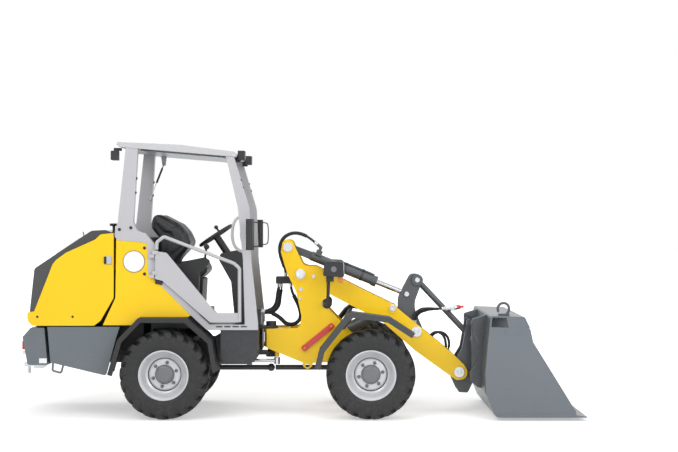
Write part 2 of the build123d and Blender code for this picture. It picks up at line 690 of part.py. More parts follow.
def quick_hitch():
    lx, lz = LINK_L
    outline = [(1602, 300, 45), (1602, 415, 45), (lx - 95, lz - 85, 60), (lx - 47, lz + 180, 20),
               (lx + 33, lz + 153, 20), (lx + 37, lz - 5), (1812, 420), (1806, 300, 20), (1740, 170, 20),
               (1660, 175, 20)]
    body = None
    for s in (1, -1):
        y0, y1 = sorted((92 * s, 119 * s))
        side = slab_y(outline, y0, y1)
        side += pin_y((lx + 1, lz + 127), 28, *sorted((92 * s, 332 * s)))
        side += pin_y(LINK_L, 40, *sorted((48 * s, 92 * s)))
        side += slab_y([(lx - 35, lz + 190, 20), (lx + 33, lz + 167, 20), (1820, 300), (1752, 300, 20)],
                       *sorted((306 * s, 332 * s)))
        body = side if body is None else body + side
    body += block(1748, 1806, -332, 332, 300, 362)
    body += pin_y(HITCH_E, 52, -95, 95)
    body -= pin_y(HITCH_E, 30 + RUN, -200, 200)
    return body


def bucket():
    outer = [(2691, 30), (2691, 36), (2560, 58), (1935, 50, 60), (1852, 240, 120), (1848, 400, 120),
             (1868, 640, 200),
             (1893, 872, 12), (2158, 863, 12), (2199, 780), (2211, 784), (2166, 876, 14), (1880, 886, 14),
             (1854, 640, 200), (1834, 400, 130), (1838, 235, 130), (1917, 30, 60)]
    shell = slab_y(outer, -BUCKET_HALF, BUCKET_HALF)
    side = [(1917, 30, 60), (1838, 235, 130), (1834, 400, 130), (1854, 640, 200), (1880, 790),
            (2211, 782, 20),
            (2237, 664, 60), (2590, 90, 20), (2600, 40), (2500, 30)]
    body = shell
    for s in (1, -1):
        y0, y1 = sorted(((BUCKET_HALF - 15) * s, BUCKET_HALF * s))
        body += slab_y(side, y0, y1)
        y0, y1 = sorted((332 * s, 353 * s))
        body += slab_y([(1750, 838, 20), (1890, 880), (1868, 640), (1845, 400), (1845, 240),
                        (1800, 250, 30),
                        (1740, 300, 30), (1740, 380, 20), (1800, 480, 80), (1815, 600, 80),
                        (1765, 720, 30)], y0, y1)
    cut = slab_y([(1935, 52, 60), (1853, 240, 120), (1849, 400, 120), (1869, 640, 200), (1894, 870),
                  (2150, 860),
                  (2195, 782), (2300, 600), (2600, 60)], -BUCKET_HALF + 15, BUCKET_HALF - 15)
    body -= cut
    return body


# Hoses

LOOP_ROUTE = [(-85, 873), (-35, 873), (32, 854), (89.5, 813.5), (129.6, 769), (188.3, 758), (241.6, 785),
              (267.4, 839), (250, 925), (212, 1000), (176, 1075), (176, 1130)]
FEED_ROUTES = (
    (-60, [(-85, 880), (-24, 880), (30, 902), (60, 955), (64, 1030), (76, 1080), (76, 1130)]),
    (0, [(-85, 860), (-22, 860), (38, 882), (76, 934), (82, 1012), (94, 1072), (94, 1130)]),
    (60, [(-85, 884), (-32, 884), (16, 908), (44, 962), (50, 1036), (62, 1084), (62, 1130)]))
TOWER_ROUTE = [(130, 1190), (130, 1240), (104, 1310), (78, 1390), (76, 1475), (118, 1548), (196, 1582),
               (278, 1570), (352.4, 1528.6), (412.3, 1475.5)]
COUPLER_ROUTES = (
    [(1281, -85, 775), (1281, -85, 822), (1308, -85, 868), (1360, -85, 894), (1422, -85, 905),
     (1484.9, -85, 907.8), (1542.4, -85, 913.55)],
    [(1262, -107, 775), (1262, -107, 828), (1284, -109, 880), (1334, -114, 908), (1402, -122, 914),
     (1480, -132.5, 907.3), (1541.9, -135, 913.5)])
NOSE_ROUTES = (
    (-48, [(1410, 566), (1410, 614), (1424, 664), (1464, 696), (1514, 700), (1556, 675), (1580, 632),
           (1584, 582), (1576, 545), (1576, 512)]),
    (-78, [(1400, 566), (1400, 610), (1412, 660), (1450, 694), (1500, 702), (1544, 680), (1568, 638),
           (1572, 586), (1562, 548), (1562, 512)]))
LOOP_Y = 32
TOWER_Y = 30


def flat(route, y):
    """Side-view route as 3-D points at one Y."""
    return [(x, y, z) for x, z in route]


def hose_clamp(frame):
    """Block behind the tower that the hoses plug into from below and above."""
    return block(46, 190, -90, 90, 1130, 1190) - frame


def hoses(nodes):
    nodes["pivot_hoses"] = [hose(flat(LOOP_ROUTE, y), 20) for y in (-LOOP_Y, LOOP_Y)]
    nodes["pivot_hoses"] += [hose(flat(route, y), 16) for y, route in FEED_ROUTES]
    nodes["tower_hoses"] = [hose(flat(TOWER_ROUTE, y), 20) for y in (-TOWER_Y, TOWER_Y)]
    nodes["coupler_hoses"] = [hose(route, 18) for route in COUPLER_ROUTES]
    nodes["nose_hoses"] = [hose(flat(route, y), 16) for y, route in NOSE_ROUTES]


def barrel_ports():
    """Hose block and two elbows on the tilt barrel."""
    body = slab_y([polar(TILT_T, LEVER_M, 245, 25), polar(TILT_T, LEVER_M, 300, 25),
                   polar(TILT_T, LEVER_M, 300, 72), polar(TILT_T, LEVER_M, 245, 72)], -48, 48)
    foot = polar(TILT_T, LEVER_M, 270, 60)
    knee = polar(TILT_T, LEVER_M, 270, 100)
    end = TOWER_ROUTE[-1]
    tip = (end[0] + 0.2, end[1] - 0.18)
    for y in (-TOWER_Y, TOWER_Y):
        body += rod((foot[0], y, foot[1]), (knee[0], y, knee[1]), 13)
        body += Pos(knee[0], y, knee[1]) * Sphere(13)
        body += rod((knee[0], y, knee[1]), (tip[0], y, tip[1]), 13)
    return body


REAR_BODY = ("engine_block", "counterweight", "tow_hitch", "tail_lamps", "lower_panels", "side_covers",
             "rear_fenders", "platform", "canopy_sides", "canopy_roof", "seat_base", "seat_cushion",
             "seat_backrest", "dash_console", "control_console", "mirrors", "work_lamps", "engine_hood",
             "hood_grille", "side_gate", "steering_wheel")


def moved(shape, dx):
    """Shape, or list of shapes, moved along X."""
    if isinstance(shape, list):
        return [Pos(dx, 0, 0) * item for item in shape]
    return Pos(dx, 0, 0) * shape


def build_nodes():
    nodes = {}
    nodes["rear_chassis"] = rear_chassis()
    nodes["rear_axle"] = axle(REAR_X, 70, 212.5, 450, 0) + Pos(0, 0, AXLE_Z) * Sphere(34)
    nodes["engine_block"] = block(-1760, -1240, -195, 195, 560, 1250)
    weight = counterweight()
    nodes["counterweight"] = weight
    nodes["tow_hitch"] = tow_hitch(weight)
    nodes["tail_lamps"] = tail_lamps(weight)
    nodes["lower_panels"] = lower_panels()
    nodes["rear_fenders"] = rear_fenders()
    nodes["platform"] = platform()
    roof = canopy_roof()
    nodes["canopy_roof"] = roof
    nodes["canopy_sides"] = canopy_sides(roof)
    nodes["side_covers"] = side_covers(nodes["canopy_sides"][0])
    seat_parts(nodes)
    nodes["dash_console"] = dash_console()
    nodes["control_console"] = control_console()
    nodes["mirrors"] = mirrors()
    nodes["work_lamps"] = work_lamps(roof)
    nodes["engine_hood"] = engine_hood()
    nodes["hood_grille"] = hood_grille(hood_blank())
    nodes["side_gate"] = side_gate()
    nodes["steering_wheel"] = steering_wheel()
    nodes["front_chassis"] = front_chassis()
    nodes["front_axle"] = axle(FRONT_X, 70, 177.5, 450, 40)
    nodes["front_fenders"] = front_fenders()
    nodes["headlamps"] = headlamps()
    nodes["lock_bar"] = lock_bar()
    nodes["boom"] = boom()
    nodes["tilt_lever"] = tilt_lever()
    nodes["tilt_link"] = tilt_link()
    nodes["hose_couplers"] = hose_couplers()
    nodes["tilt_barrel"], nodes["tilt_rod"] = cylinder_pair(
        TILT_T, LEVER_M, 48, 42, 25, 41, 24, 844, 700, 110, EYE_HALF, 235)
    ports = barrel_ports() - rod_space(TILT_T, LEVER_M, 30)
    nodes["tilt_barrel"] += ports
    nodes["lift_barrel"], nodes["lift_rod"] = cylinder_pair(
        LIFT_B, LIFT_R, 52, 44, 28, 52, 28, 815, 815, 0, EYE_HALF)
    barrel, ram = cylinder_pair((STEER_A[0], 0), (STEER_F[0], 0), 30, 26, 14, 32, 16, 400, 400, 95, 30)
    angle = math.degrees(math.atan2(STEER_F[1] - STEER_A[1], STEER_F[0] - STEER_A[0]))
    place = Pos(STEER_A[0], STEER_A[1], STEER_Z) * Rot(0, 0, angle) * Rot(-90, 0, 0) * Pos(-STEER_A[0], 0,
                                                                                           0)
    nodes["steer_barrel"] = place * barrel
    nodes["steer_rod"] = place * ram
    nodes["hitch_pin"] = headed_pin(HITCH_E, 30, BOOM_OUT, 46, 14)
    nodes["lever_pin"] = headed_pin(LEVER_Q, 30, BOOM_OUT, 46, 14)
    nodes["link_pin"] = headed_pin(LEVER_N, 22, LEVER_OUT, 50, 28)
    nodes["tilt_pin"] = headed_pin(TILT_T, 25, PLATE_OUT, 42, 14)
    nodes["quick_hitch"] = quick_hitch()
    nodes["bucket"] = bucket()
    for name in REAR_BODY:
        nodes[name] = moved(nodes[name], RIDE)
    for name in ("front_fenders",):
        nodes[name] = moved(nodes[name], NOSE_RIDE)
    wheels(nodes)
    nodes["hose_clamp"] = hose_clamp(nodes["front_chassis"])
    hoses(nodes)
    return nodes


def main():
    os.makedirs("parts", exist_ok=True)
    for name, shape in build_nodes().items():
        solids = []
        for item in shape if isinstance(shape, list) else [shape]:
            solids.extend(Pos(ORIGIN_SHIFT, 0, 0) * s for s in item.solids())
        whole = solids[0] if len(solids) == 1 else Compound(children=solids)
        export_step(whole, os.path.join("parts", name + ".step"))
        box = whole.bounding_box()
        print(f"{name:16s} solids {len(solids)} x {box.min.X:8.1f} {box.max.X:8.1f} "
              f"y {box.min.Y:7.1f} {box.max.Y:7.1f} z {box.min.Z:7.1f} {box.max.Z:7.1f}")


if __name__ == "__main__":
    main()
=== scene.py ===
"""Looks of a compact articulated wheel loader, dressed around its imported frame.

Every place is given in millimetres from the steering pivot, as on a
side view: x forward, y to the operator's left and z up from the floor.
"""

from __future__ import annotations

import json
import logging
import math
from dataclasses import dataclass, field
from enum import Enum

import bmesh
import bpy
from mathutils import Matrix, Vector

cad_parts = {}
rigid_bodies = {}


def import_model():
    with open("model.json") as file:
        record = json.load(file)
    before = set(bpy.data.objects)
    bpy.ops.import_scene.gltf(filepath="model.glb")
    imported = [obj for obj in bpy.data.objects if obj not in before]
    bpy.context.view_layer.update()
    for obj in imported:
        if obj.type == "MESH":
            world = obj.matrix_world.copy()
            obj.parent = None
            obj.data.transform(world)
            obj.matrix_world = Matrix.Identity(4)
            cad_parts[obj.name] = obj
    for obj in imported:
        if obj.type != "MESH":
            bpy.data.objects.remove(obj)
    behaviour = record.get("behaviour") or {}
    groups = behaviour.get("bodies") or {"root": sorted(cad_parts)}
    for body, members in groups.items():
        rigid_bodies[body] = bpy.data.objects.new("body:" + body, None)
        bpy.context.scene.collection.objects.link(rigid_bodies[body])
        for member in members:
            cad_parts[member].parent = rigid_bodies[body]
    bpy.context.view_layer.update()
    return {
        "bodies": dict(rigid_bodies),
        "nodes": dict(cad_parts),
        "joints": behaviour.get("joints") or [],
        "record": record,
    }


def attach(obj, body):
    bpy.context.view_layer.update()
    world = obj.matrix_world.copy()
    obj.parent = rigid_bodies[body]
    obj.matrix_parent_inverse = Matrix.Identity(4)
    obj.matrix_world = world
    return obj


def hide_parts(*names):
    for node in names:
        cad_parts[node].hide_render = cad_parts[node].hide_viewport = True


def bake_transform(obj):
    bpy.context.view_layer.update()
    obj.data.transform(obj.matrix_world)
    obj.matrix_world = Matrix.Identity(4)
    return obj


LOG = logging.getLogger("wheel_loader")
MM = 0.001
PIVOT_X = -238.0
Point = tuple[float, float, float]


def at(x: float, y: float, z: float) -> Vector:
    """A place on the machine, from millimetres to the frame's metres."""
    return Vector(((x + PIVOT_X) * MM, y * MM, z * MM))


def linear(code: str) -> tuple[float, float, float, float]:
    """Turn a web colour into the linear colour that a shader takes.

    Args:
        code: six hexadecimal digits, red first.

    Returns:
        Red, green, blue and an alpha of one.
    """
    parts = []
    for i in (0, 2, 4):
        c = int(code[i:i + 2], 16) / 255.0
        parts.append(c / 12.92 if c <= 0.04045 else ((c + 0.055) / 1.055) ** 2.4)
    return (*parts, 1.0)


class Side(Enum):
    """The two sides of the machine, as the sign of y."""

    LEFT = 1
    RIGHT = -1

    @property
    def out(self) -> Vector:
        """The way out of the machine on this side."""
        return Vector((0.0, self.value, 0.0))

    @property
    def tag(self) -> str:
        """The side's name in the names of pieces."""
        return self.name.lower()

    def span(self, inner: float, outer: float) -> tuple[float, float]:
        """Two distances from the middle as places along y, lower first."""
        low, high = sorted((inner * self.value, outer * self.value))
        return low, high


class Grain(Enum):
    """Kinds of fine relief on a surface."""

    NONE = "none"
    ORANGE_PEEL = "orange_peel"
    MOULDED = "moulded"
    LEATHER = "leather"
    BRUSHED = "brushed"
    BRAIDED = "braided"


class Graph:
    """Adds nodes to a tree, with their settings, values and links."""

    def __init__(self, tree: bpy.types.NodeTree) -> None:
        """Work on a tree."""
        self.tree = tree

    def add(self, kind: str, inputs: dict[str | int, object] | None = None,
            **settings: object) -> bpy.types.Node:
        """Add a node.

        Args:
            kind: the node's type.
            inputs: the value of each input, or the socket that feeds it.
            settings: the node's own properties.

        Returns:
            The new node.
        """
        node = self.tree.nodes.new(kind)
        for label, value in settings.items():
            setattr(node, label, value)
        self.feed(node, inputs or {})
        return node

    def math(self, operation: str, *inputs: object) -> bpy.types.NodeSocket:
        """Add a sum or product of numbers and give its result."""
        node = self.add("ShaderNodeMath", dict(enumerate(inputs)), operation=operation)
        return node.outputs[0]

    def feed(self, node: bpy.types.Node, inputs: dict[str | int, object]) -> None:
        """Give a node's inputs their values or links.

        Args:
            node: the node.
            inputs: the value of each input, or the socket that feeds it.
        """
        for label, value in inputs.items():
            if isinstance(value, bpy.types.NodeSocket):
                self.tree.links.new(value, node.inputs[label])
            else:
                node.inputs[label].default_value = value


class NodeGroups:
    """Shader groups that several finishes share, each built once."""

    def __init__(self) -> None:
        """Start with no group built."""
        self.made: dict[str, bpy.types.NodeTree] = {}

    def _new(self, name: str, inputs: list[tuple[str, str, object]],
             outputs: list[tuple[str, str]]) -> tuple:
        """Start a shader group.

        Args:
            name: the group's name.
            inputs: name, socket type and default of each input.
            outputs: name and socket type of each output.

        Returns:
            The group's graph, its input sockets and its output node.
        """
        tree = bpy.data.node_groups.new(name, "ShaderNodeTree")
        for label, kind, value in inputs:
            socket = tree.interface.new_socket(label, in_out="INPUT", socket_type=kind)
            socket.default_value = value
        for label, kind in outputs:
            tree.interface.new_socket(label, in_out="OUTPUT", socket_type=kind)
        self.made[name] = tree
        g_in = tree.nodes.new("NodeGroupInput")
        return Graph(tree), g_in.outputs, tree.nodes.new("NodeGroupOutput")

    def weathering(self) -> bpy.types.NodeTree:
        """Colour that drifts a little over a panel and gathers dust near the ground.

        Returns:
            A group that gives a colour and a dust mask.
        """
        if "Weathering" in self.made:
            return self.made["Weathering"]
        graph, given, g_out = self._new(
            "Weathering",
            [("Colour", "NodeSocketColor", (0.5, 0.5, 0.5, 1.0)),
             ("Drift", "NodeSocketFloat", 0.06), ("Dust", "NodeSocketFloat", 0.2),
             ("Dust Colour", "NodeSocketColor", linear("A79F90")),
             ("Dust Height", "NodeSocketFloat", 0.9)],
            [("Colour", "NodeSocketColor"), ("Dust Mask", "NodeSocketFloat")])
        place = graph.add("ShaderNodeTexCoord").outputs["Object"]
        broad = graph.add("ShaderNodeTexNoise", {"Vector": place, "Scale": 2.3, "Detail": 3.0})
        centred = graph.math("MULTIPLY_ADD", broad.outputs["Fac"], 2.0, -1.0)
        swing = graph.math("MULTIPLY_ADD", centred, given["Drift"], 1.0)
        shade = graph.add("ShaderNodeHueSaturation", {"Color": given["Colour"], "Value": swing})
        split = graph.add("ShaderNodeSeparateXYZ", {0: place})
        fall = graph.add("ShaderNodeMapRange", {
            "Value": split.outputs["Z"], "From Min": 0.0, "From Max": given["Dust Height"],
            "To Min": 1.0, "To Max": 0.0})
        speck = graph.add("ShaderNodeTexNoise", {
            "Vector": place, "Scale": 26.0, "Detail": 6.0, "Roughness": 0.7})
        ramp = graph.add("ShaderNodeMapRange", {
            "Value": speck.outputs["Fac"], "From Min": 0.42, "From Max": 0.72})
        settled = graph.math("MULTIPLY", fall.outputs[0], ramp.outputs[0])
        mask = graph.math("MULTIPLY", settled, given["Dust"])
        mix = graph.add("ShaderNodeMix", {
            "Factor": mask, 6: shade.outputs["Color"], 7: given["Dust Colour"]}, data_type="RGBA")
        graph.feed(g_out, {"Colour": mix.outputs[2], "Dust Mask": mask})
        return graph.tree

    def relief(self) -> bpy.types.NodeTree:
        """Fine height over a surface, stretched along one axis where it is brushed.

        Returns:
            A group that gives a height.
        """
        if "Relief" in self.made:
            return self.made["Relief"]
        graph, given, g_out = self._new(
            "Relief",
            [("Scale", "NodeSocketFloat", 400.0), ("Cells", "NodeSocketFloat", 0.0),
             ("Stretch", "NodeSocketVector", (1.0, 1.0, 1.0))],
            [("Height", "NodeSocketFloat")])
        place = graph.add("ShaderNodeTexCoord").outputs["Object"]
        stretch = graph.add("ShaderNodeVectorMath", {0: place, 1: given["Stretch"]}, operation="MULTIPLY")
        spread = {"Vector": stretch.outputs[0], "Scale": given["Scale"]}
        noise = graph.add("ShaderNodeTexNoise", {**spread, "Detail": 2.0})
        cells = graph.add("ShaderNodeTexVoronoi", spread)
        mix = graph.add("ShaderNodeMix", {
            "Factor": given["Cells"], 2: noise.outputs["Fac"], 3: cells.outputs["Distance"]})
        graph.feed(g_out, {"Height": mix.outputs[0]})
        return graph.tree


GROUPS = NodeGroups()
GRAIN_SCALE = {Grain.ORANGE_PEEL: 260.0, Grain.MOULDED: 900.0, Grain.LEATHER: 420.0,
               Grain.BRUSHED: 60.0, Grain.BRAIDED: 240.0}
CELLED_GRAINS = (Grain.LEATHER, Grain.BRAIDED)
CELL_SHARE = 0.7
BRUSH_STRETCH = (1.0, 14.0, 14.0)
BUMP_STRENGTH = 0.6
COAT_ROUGHNESS = 0.06
DUST_ROUGHNESS = 0.45


@dataclass(frozen=True)
class Finish:
    """One surface finish of the machine.

    Attributes:
        name: the material's name.
        colour: web colour of the clean surface.
        roughness: roughness of the clean surface.
        metallic: one for bare metal.
        coat: weight of a clear coat.
        gloss: strength of its plain reflection.
        drift: how far the colour's value swings over a panel.
        dust: how much dust settles low on the machine.
        grain: kind of fine relief.
        relief: depth of that relief in metres.
        sheen: weight of a soft sheen, for cloth and rubber.
    """

    name: str
    colour: str
    roughness: float = 0.4
    metallic: float = 0.0
    coat: float = 0.0
    gloss: float = 0.5
    drift: float = 0.05
    dust: float = 0.12
    grain: Grain = Grain.NONE
    relief: float = 0.0002
    sheen: float = 0.0

    def material(self) -> bpy.types.Material:
        """Build the material, or give the one that was built before.

        Returns:
            A node material that reads Object coordinates.
        """
        known = bpy.data.materials.get(self.name)
        if known:
            return known
        made = bpy.data.materials.new(self.name)
        made.use_nodes = True
        graph = Graph(made.node_tree)
        shader = made.node_tree.nodes["Principled BSDF"]
        weather = graph.add("ShaderNodeGroup", {
            "Colour": linear(self.colour), "Drift": self.drift, "Dust": self.dust},
            node_tree=GROUPS.weathering())
        rough = graph.add("ShaderNodeMapRange", {
            "Value": weather.outputs["Dust Mask"], "To Min": self.roughness,
            "To Max": min(1.0, self.roughness + DUST_ROUGHNESS)})
        graph.feed(shader, {
            "Base Color": weather.outputs["Colour"], "Roughness": rough.outputs[0],
            "Metallic": self.metallic, "Specular IOR Level": self.gloss, "Coat Weight": self.coat,
            "Coat Roughness": COAT_ROUGHNESS, "Sheen Weight": self.sheen})
        if self.grain is not Grain.NONE:
            graph.feed(shader, {"Normal": self._relief_normal(graph)})
        return made

    def _relief_normal(self, graph: Graph) -> bpy.types.NodeSocket:
        """Add the fine relief to a material.

        Args:
            graph: the material's graph.

        Returns:
            The normal that the shader takes.
        """
        relief = graph.add("ShaderNodeGroup", {
            "Scale": GRAIN_SCALE[self.grain],
            "Cells": CELL_SHARE if self.grain in CELLED_GRAINS else 0.0}, node_tree=GROUPS.relief())
        if self.grain is Grain.BRUSHED:
            graph.feed(relief, {"Stretch": BRUSH_STRETCH})
        bump = graph.add("ShaderNodeBump", {
            "Strength": BUMP_STRENGTH, "Distance": self.relief, "Height": relief.outputs["Height"]})
        return bump.outputs["Normal"]


YELLOW = Finish("yellow_gloss_paint", "FACD06", 0.34, coat=0.25, gloss=0.3, drift=0.035,
                grain=Grain.ORANGE_PEEL)
SILVER = Finish("silver_grey_paint", "BBBBBF", 0.42, coat=0.1, drift=0.03, grain=Grain.ORANGE_PEEL)
ROOF = Finish("roof_grey_paint", "C2C2C5", 0.68, drift=0.03, grain=Grain.ORANGE_PEEL)
GREY = Finish("slate_grey_paint", "646C72", 0.42, coat=0.15, grain=Grain.ORANGE_PEEL)
BUCKET_GREY = Finish("bucket_grey_paint", "656C73", 0.4, coat=0.2, drift=0.04, dust=0.06,
                     grain=Grain.ORANGE_PEEL)
DARK = Finish("dark_grey_paint", "4A4F53", 0.42, coat=0.15, grain=Grain.ORANGE_PEEL)
CHASSIS = Finish("chassis_black_paint", "2E3135", 0.5, grain=Grain.ORANGE_PEEL)
PLASTIC = Finish("black_moulded_plastic", "1D1E20", 0.55, grain=Grain.MOULDED)
HUMP = Finish("smoked_gloss_plastic", "33373B", 0.22, coat=0.5, grain=Grain.MOULDED)
FENDER = Finish("charcoal_moulded_plastic", "3A3D40", 0.55, grain=Grain.MOULDED)
RUBBER = Finish("tyre_rubber", "1E1F21", 0.66, drift=0.08, dust=0.07, grain=Grain.MOULDED, sheen=0.05)
HOSE = Finish("hose_rubber", "17181A", 0.5, grain=Grain.MOULDED)
SLEEVE = Finish("hose_sleeve_weave", "1B1C1E", 0.72, grain=Grain.BRAIDED, relief=0.0008)
VINYL = Finish("seat_vinyl", "202123", 0.5, grain=Grain.LEATHER, relief=0.0006, sheen=0.03)
RIM = Finish("rim_silver_lacquer", "CFD0D4", 0.35, metallic=0.25, coat=0.3, drift=0.03)
HUB = Finish("hub_grey_paint", "6D7074", 0.45, coat=0.1)
CHROME = Finish("rod_chrome", "B9BCC1", 0.16, metallic=1.0, drift=0.02, dust=0.1)
STEEL = Finish("bright_pin_steel", "C9CBCF", 0.3, metallic=0.9, grain=Grain.BRUSHED, relief=0.0001)
ZINC = Finish("zinc_plate", "C8CBD0", 0.35, metallic=0.8, drift=0.08)
WORN = Finish("worn_edge_steel", "8D9194", 0.4, metallic=0.7, drift=0.18, grain=Grain.BRUSHED)
RED = Finish("red_gloss_paint", "CE1F1E", 0.3, coat=0.5)
RED_LENS = Finish("red_lens", "B01414", 0.18, coat=0.6)
AMBER = Finish("amber_lens", "E67E14", 0.18, coat=0.6)
LENS = Finish("clear_lamp_lens", "D9DEE2", 0.1, coat=0.8)
MIRROR = Finish("mirror_glass", "DCDFE2", 0.04, metallic=1.0, drift=0.01, dust=0.02)
WHITE = Finish("white_enamel", "F1F2F3", 0.35, coat=0.4, drift=0.01)


class Pieces:
    """Ways to turn meshes into pieces that ride on the machine's bodies."""

    @staticmethod
    def add(name: str, mesh: bpy.types.Mesh, finish: Finish, body: str,
            slot: str | None = None) -> bpy.types.Object:
        """Put a finished mesh on a body.

        Args:
            name: the piece's name.
            mesh: its mesh, in the frame's metres.
            finish: what it is covered with.
            body: the body that it moves with.
            slot: the record's material slot, where it has one; not used.

        Returns:
            The new object.
        """
        piece = bpy.data.objects.new(name, mesh)
        bpy.context.scene.collection.objects.link(piece)
        mesh.materials.clear()
        mesh.materials.append(finish.material())
        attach(piece, body)
        LOG.info("%s on %s", name, body)
        return piece

    @staticmethod
    def from_bmesh(name: str, bm: bmesh.types.BMesh, smooth: float = 35.0) -> bpy.types.Mesh:
        """Close a bmesh as a mesh with soft shading under an angle.

        Args:
            name: the mesh's name.
            bm: the shape, which is freed.
            smooth: edges sharper than this many degrees stay sharp.

        Returns:
            The mesh.
        """
        bmesh.ops.remove_doubles(bm, verts=bm.verts, dist=1e-5)
        bmesh.ops.recalc_face_normals(bm, faces=bm.faces)
        limit = math.radians(smooth)
        for face in bm.faces:
            face.smooth = True
        for edge in bm.edges:
            edge.smooth = len(edge.link_faces) == 2 and edge.calc_face_angle(0.0) < limit
        mesh = bpy.data.meshes.new(name)
        bm.to_mesh(mesh)
        bm.free()
        return mesh

    @staticmethod
    def shaded(name: str, bm: bmesh.types.BMesh, finish: Finish, body: str,
               smooth: float = 30.0) -> bpy.types.Object:
        """Close a bmesh with soft shading and put it on a body."""
        return Pieces.add(name, Pieces.from_bmesh(name, bm, smooth), finish, body)

    @staticmethod
    def live(name: str, mesh: bpy.types.ID) -> bpy.types.Object:
        """Link an object that is to carry modifiers and be baked."""
        holder = bpy.data.objects.new(name, mesh)
        bpy.context.scene.collection.objects.link(holder)
        return holder

    @staticmethod
    def baked(source: bpy.types.Object) -> bpy.types.Mesh:
        """Give an object's evaluated mesh and delete the object.

        Args:
            source: an object with live modifiers.

        Returns:
            A plain mesh.
        """
        bpy.context.view_layer.update()
        graph = bpy.context.evaluated_depsgraph_get()
        mesh = bpy.data.meshes.new_from_object(source.evaluated_get(graph), depsgraph=graph)
        bpy.data.objects.remove(source)
        return mesh

    @staticmethod
    def joined(name: str, parts: list[bpy.types.Mesh]) -> bpy.types.Mesh:
        """Put several meshes into one.

        Args:
            name: the new mesh's name.
            parts: the meshes, which are removed.

        Returns:
            The joined mesh.
        """
        bm = bmesh.new()
        for part in parts:
            bm.from_mesh(part)
            bpy.data.meshes.remove(part)
        mesh = bpy.data.meshes.new(name)
        bm.to_mesh(mesh)
        bm.free()
        return mesh


class Studio:
    """Camera, floor and lights."""

    LENS = 63.2
    SENSOR = 36.0
    EYE = Vector((0.3668, -10.62, 1.64))
    LAMPS = (("key", (-3.5, -6.5, 6.5), (0.0, 0.0, 0.8), 5.0, 280.0),
             ("fill", (5.0, -6.0, 4.0), (0.5, 0.0, 0.8), 5.0, 230.0),
             ("top", (0.0, 0.5, 7.5), (0.0, 0.0, 0.0), 6.0, 180.0))
    SKY_LIGHT = 0.5
    PURE_WHITE = (1.0, 1.0, 1.0, 1.0)
    FLOOR_COLOUR = (0.86, 0.86, 0.86, 1.0)
    FLOOR_HALF = 60.0
    FLOOR_DROP = 0.001

    def camera(self) -> None:
        """Set the camera level at the machine's right side."""
        data = bpy.data.cameras.new("camera")
        data.lens = self.LENS
        data.sensor_width = self.SENSOR
        camera = bpy.data.objects.new("camera", data)
        camera.location = self.EYE
        camera.rotation_euler = (math.radians(90.0), 0.0, 0.0)
        bpy.context.scene.collection.objects.link(camera)
        bpy.context.scene.camera = camera

    @staticmethod
    def seen(graph: Graph) -> bpy.types.NodeSocket:
        """Tell the rays that come from the eye, a mirror or glass.

        Args:
            graph: the graph of a world or a material.

        Returns:
            A socket that is one for such a ray.
        """
        rays = graph.add("ShaderNodeLightPath").outputs
        found = rays["Is Camera Ray"]
        for label in ("Is Glossy Ray", "Is Transmission Ray"):
            found = graph.math("MAXIMUM", found, rays[label])
        return found

    def world(self) -> None:
        """White to the eye and to mirrors, plain soft light to everything else."""
        world = bpy.data.worlds.new("studio")
        bpy.context.scene.world = world
        world.use_nodes = True
        graph = Graph(world.node_tree)
        level = graph.add("ShaderNodeMapRange", {
            "Value": self.seen(graph), "To Min": self.SKY_LIGHT, "To Max": 1.0})
        graph.feed(world.node_tree.nodes["Background"], {
            "Color": self.PURE_WHITE, "Strength": level.outputs[0]})

    def lamp(self, name: str, place: Point, aim: Point, size: float, watts: float) -> None:
        """Hang one soft box.

        Args:
            name: the lamp's name.
            place: where it hangs, in metres.
            aim: what it points at, in metres.
            size: its side, in metres.
            watts: its power.
        """
        data = bpy.data.lights.new(name, "AREA")
        data.shape = "SQUARE"
        data.size = size
        data.energy = watts
        lamp = bpy.data.objects.new(name, data)
        lamp.location = place
        lamp.rotation_euler = (Vector(aim) - Vector(place)).to_track_quat("-Z", "Y").to_euler()
        bpy.context.scene.collection.objects.link(lamp)

    def floor(self) -> None:
        """A pale floor that goes white to the eye and keeps the shadow."""
        mesh = bpy.data.meshes.new("floor")
        half = self.FLOOR_HALF
        mesh.from_pydata([(-half, -half, 0), (half, -half, 0), (half, half, 0), (-half, half, 0)],
                         [], [(0, 1, 2, 3)])
        floor = bpy.data.objects.new("floor", mesh)
        floor.location.z = -self.FLOOR_DROP
        bpy.context.scene.collection.objects.link(floor)
        made = bpy.data.materials.new("pale_floor")
        made.use_nodes = True
        graph = Graph(made.node_tree)
        place = graph.add("ShaderNodeTexCoord").outputs["Object"]
        reach = graph.add("ShaderNodeVectorMath", {0: place}, operation="LENGTH")
        glow = graph.add("ShaderNodeMapRange", {
            "Value": reach.outputs["Value"], "From Min": 2.6, "From Max": 7.0,
            "To Min": 0.42, "To Max": 1.0}, interpolation_type="SMOOTHSTEP")
        graph.feed(made.node_tree.nodes["Principled BSDF"], {
            "Base Color": self.FLOOR_COLOUR, "Roughness": 0.9, "Specular IOR Level": 0.1,
            "Emission Color": self.PURE_WHITE,
            "Emission Strength": graph.math("MULTIPLY", self.seen(graph), glow.outputs[0])})
        mesh.materials.append(made)

    def build(self) -> None:
        """Set the whole studio."""
        bpy.context.scene.view_settings.view_transform = "Standard"
        self.camera()
        self.world()
        self.floor()
        for lamp in self.LAMPS:
            self.lamp(*lamp)


